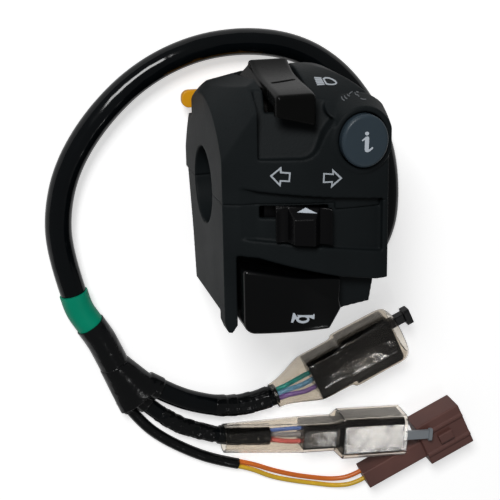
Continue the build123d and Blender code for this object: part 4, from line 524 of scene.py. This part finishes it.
def tape_wrap(name, cord_piece, share, diameter, turns, crease, past=0.0):
    """Tape wound over a share of a cord, and past its end. Each turn stands a little prouder
    where it laps the last. Lengths are in millimetres."""
    points = line_of(cord_piece)
    last = len(points) - 1
    points = points[int(share[0] * last):int(share[1] * last) + 1]
    if past:
        run = (points[-1] - points[-2]).normalized()
        points += [points[-1] + run * past * MM * step / 4 for step in range(1, 5)]
    curve, spline = round_curve(name, "POLY", points, diameter / 2 * MM)
    for number, point in enumerate(spline.points):
        point.radius = 1 + LAP_RISE * (number * turns / len(points) % 1)
    take_up(placed(name, curve))
    bpy.ops.object.convert(target="MESH")
    piece = bpy.context.object
    work(piece, "REMESH", mode="VOXEL", voxel_size=TAPE_GRAIN)
    work(piece, "DISPLACE", texture=TAPE_CREASES, strength=crease * MM)
    work(piece, "SMOOTH", iterations=3)
    bpy.ops.object.shade_smooth()
    dress(piece, TAPE)
    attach(piece, HOUSING)


tape_wrap("tape_wrap_a", arm_a, (0.55, 0.97), diameter=6.9, turns=4, crease=0.35)
tape_wrap("tape_wrap_b", arm_b, (0.12, 0.70), diameter=5.4, turns=5, crease=0.8)
tape_wrap("tape_collar_b", arm_b, (0.74, 1.0), diameter=6.2, turns=2, crease=0.25, past=2.4)

# ---------------------------------------------------------------- plug A and its clear boot
PLUG_A_SPOT = (35.7 * MM, -63.6 * MM, FLOOR_Z + 6.5 * MM)
PLUG_A_TURN = math.radians(23.5)
FILM_CREASES = crease_pattern("film_creases", 4.5 * MM)
FILM_THICKNESS = 0.35 * MM
BOOT_CORNER = 2.4 * MM
BOOT_CROWN = 0.45 * MM
BOOT_CREASE = 0.2 * MM
# The boot's rings from its tail to its mouth: reach, width, height, side step, rise.
BOOT_RINGS = (
    (-35.6, 7.5, 7.4, -0.9, -2.9), (-33.4, 7.8, 7.6, -0.8, -2.8), (-29.0, 10.6, 9.0, -0.5, -1.9),
    (-24.6, 14.4, 11.2, 0, -0.8), (-22.4, 15.6, 12.1, 0, -0.2), (-21.0, 15.9, 12.3, 0, 0),
    (-16.5, 15.9, 12.3, 0, 0), (-11.8, 15.9, 12.3, 0, 0), (-10.9, 16.3, 12.4, 0, 0),
    (-10.4, 18.2, 12.6, 0, 0), (-9.4, 18.7, 12.7, 0, 0), (-4.0, 18.6, 12.7, 0, 0),
    (2.0, 18.6, 12.7, 0, 0), (6.0, 18.6, 12.7, 0, 0), (8.2, 18.2, 12.5, 0, 0),
    (9.6, 16.6, 11.9, 0, 0), (10.3, 13.6, 10.6, 0, 0),
)


def settle_at_plug_a(piece):
    """A piece goes to its place on the table, and its place into its mesh."""
    piece.location = PLUG_A_SPOT
    piece.rotation_euler = (0, 0, PLUG_A_TURN)
    bpy.ops.object.transform_apply(location=True, rotation=True, scale=True)


def plug_a_boot():
    """A thin clear boot, drawn out ring by ring along its plug."""
    bpy.ops.object.select_all(action="DESELECT")
    bpy.ops.mesh.primitive_plane_add(size=1, rotation=(0, math.pi / 2, 0))
    piece = bpy.context.object
    piece.name = "plug_a_boot"
    reach, width, height, side, rise = BOOT_RINGS[0]
    piece.scale = (height * MM, width * MM, 1)
    piece.location = (reach * MM, side * MM, rise * MM)
    bpy.ops.object.transform_apply(location=True, rotation=True, scale=True)
    edit_all()
    bpy.ops.mesh.bevel(affect="VERTICES", offset=BOOT_CORNER, segments=5)
    bpy.ops.mesh.select_all(action="SELECT")
    bpy.ops.mesh.delete(type="ONLY_FACE")
    flat_side = width * MM / 4
    ring_mesh = bmesh.from_edit_mesh(piece.data)
    for edge in ring_mesh.edges:
        edge.select_set(edge.calc_length() > flat_side)
    bmesh.update_edit_mesh(piece.data)
    bpy.ops.mesh.subdivide(number_cuts=3)
    crown_reach = width * MM / 5
    ring_mesh = bmesh.from_edit_mesh(piece.data)
    for vertex in ring_mesh.verts:
        in_crown = abs(vertex.co.y - side * MM) < crown_reach
        vertex.select_set(in_crown and vertex.co.z > rise * MM)
    bmesh.update_edit_mesh(piece.data)
    bpy.ops.transform.translate(value=(0, 0, BOOT_CROWN))
    bpy.ops.mesh.select_all(action="SELECT")
    for ring in BOOT_RINGS[1:]:
        move = Vector((ring[0] - reach, ring[3] - side, ring[4] - rise)) * MM
        bpy.ops.mesh.extrude_region_move(TRANSFORM_OT_translate={"value": move})
        bpy.ops.transform.resize(value=(1, ring[1] / width, ring[2] / height),
                                 center_override=(ring[0] * MM, ring[3] * MM, ring[4] * MM))
        reach, width, height, side, rise = ring
    bpy.ops.mesh.select_all(action="SELECT")
    bpy.ops.mesh.normals_make_consistent(inside=False)
    bpy.ops.object.mode_set(mode="OBJECT")
    settle_at_plug_a(piece)
    work(piece, "SUBSURF", levels=2, render_levels=2)
    work(piece, "DISPLACE", texture=FILM_CREASES, strength=BOOT_CREASE)
    work(piece, "SOLIDIFY", thickness=FILM_THICKNESS, offset=-1)
    bpy.ops.object.shade_smooth()
    dress(piece, CLEAR)
    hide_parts("conn_a_sheath")
    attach(piece, HOUSING)


BLOCK_SIZE = (17.4 * MM, 16.4 * MM, 10.8 * MM)
BLOCK_MIDDLE = -0.6 * MM
BLOCK_CORNER = 2.6 * MM
MOUTH_EDGE = 1.3 * MM
MOUTH_WALL = 1.2 * MM
MOUTH_DEPTH = 9 * MM
BACK_STEP = 0.25 * MM
BACK_WIDTH = 0.89
BACK_START = -9.3 * MM
BACK_LENGTH = 12.7 * MM


def pick_face(piece, way):
    """Selects the outermost face that looks along the plug, forwards or back."""
    mesh = bmesh.from_edit_mesh(piece.data)
    for face in mesh.faces:
        face.select_set(False)
    faces = [face for face in mesh.faces if face.normal.x * way > 0.9]
    last = max(faces, key=lambda face: (round(face.calc_center_median().x * way, 5),
                                        face.calc_area()))
    last.select_set(True)
    bmesh.update_edit_mesh(piece.data)


def plug_a_block():
    """The black plug in the boot: a rounded block with an open mouth and a narrower back."""
    bpy.ops.object.select_all(action="DESELECT")
    bpy.ops.mesh.primitive_cube_add(size=1)
    piece = bpy.context.object
    piece.name = "plug_a_block"
    piece.scale = BLOCK_SIZE
    piece.location = (BLOCK_MIDDLE, 0, 0)
    bpy.ops.object.transform_apply(location=True, rotation=True, scale=True)
    edit_all()
    mesh = bmesh.from_edit_mesh(piece.data)
    for edge in mesh.edges:
        run = edge.verts[0].co - edge.verts[1].co
        edge.select_set(abs(run.x) > BLOCK_SIZE[0] / 2)
    bmesh.update_edit_mesh(piece.data)
    bpy.ops.mesh.bevel(offset=BLOCK_CORNER, segments=4)
    pick_face(piece, 1)
    bpy.ops.mesh.bevel(offset=MOUTH_EDGE, segments=4)
    pick_face(piece, 1)
    bpy.ops.mesh.inset(thickness=MOUTH_WALL)
    bpy.ops.mesh.extrude_region_move(TRANSFORM_OT_translate={"value": (-MOUTH_DEPTH, 0, 0)})
    pick_face(piece, -1)
    bpy.ops.mesh.inset(thickness=BACK_STEP)
    bpy.ops.transform.resize(value=(1, BACK_WIDTH, 1), center_override=(BACK_START, 0, 0))
    bpy.ops.mesh.extrude_region_move(TRANSFORM_OT_translate={"value": (-BACK_LENGTH, 0, 0)})
    bpy.ops.object.mode_set(mode="OBJECT")
    settle_at_plug_a(piece)
    work(piece, "BEVEL", width=0.7 * MM, segments=3, limit_method="ANGLE",
         angle_limit=math.radians(40))
    bpy.ops.object.shade_smooth_by_angle(angle=SHARP_CORNER)
    dress(piece, PLUG)
    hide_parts("conn_a_body")
    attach(piece, HOUSING)


plug_a_boot()
plug_a_block()

# ---------------------------------------------------------------- floor and light
FLOOR_DROP = 0.05 * MM
FLOOR_GLOW = 0.58


def pale_floor():
    """Pale paper that keeps the object's shadow, and shows white to the camera."""
    paper = bpy.data.materials.new("pale_floor")
    paper.use_nodes = True
    nodes, links = paper.node_tree.nodes, paper.node_tree.links
    surface = nodes["Principled BSDF"]
    set_inputs(surface, {"Base Color": (0.80, 0.80, 0.80, 1), "Roughness": 0.9,
                         "Specular IOR Level": 0, "Emission Color": (1, 1, 1, 1)})
    seen = nodes.new("ShaderNodeLightPath")
    shown = seen.outputs["Is Camera Ray"]
    for ray, share in (("Is Transmission Ray", 1.0), ("Is Glossy Ray", 0.3)):
        part = math_node(nodes, "MULTIPLY", {1: share})
        links.new(seen.outputs[ray], part.inputs[0])
        either = math_node(nodes, "MAXIMUM", {})
        links.new(shown, either.inputs[0])
        links.new(part.outputs["Value"], either.inputs[1])
        shown = either.outputs["Value"]
    glow = math_node(nodes, "MULTIPLY", {1: FLOOR_GLOW})
    links.new(shown, glow.inputs[0])
    links.new(glow.outputs["Value"], surface.inputs["Emission Strength"])
    return paper


def softbox(name, place, aim, size, power):
    lamp = bpy.data.lights.new(name, "AREA")
    lamp.shape = "RECTANGLE"
    lamp.size, lamp.size_y = size
    lamp.energy = power
    holder = placed(name, lamp)
    holder.location = place
    holder.rotation_euler = (Vector(aim) - Vector(place)).to_track_quat("-Z", "Y").to_euler()


bpy.ops.object.select_all(action="DESELECT")
bpy.ops.mesh.primitive_plane_add(size=6, location=(0, 0, FLOOR_Z - FLOOR_DROP))
floor = bpy.context.object
floor.name = "floor"
floor.data.materials.append(pale_floor())
softbox("key", place=(-0.35, 0.55, 0.75), aim=(0, -0.02, 0), size=(0.30, 0.30), power=6.0)
softbox("window", place=(0.284, -0.437, 0.665), aim=(0.036, -0.094, -0.012),
        size=(0.075, 0.055), power=0.20)
world = bpy.data.worlds.new("studio")
world.use_nodes = True
set_inputs(world.node_tree.nodes["Background"], {"Color": (1, 1, 1, 1), "Strength": 0.15})
bpy.context.scene.world = world
bpy.context.scene.view_settings.view_transform = "Standard"
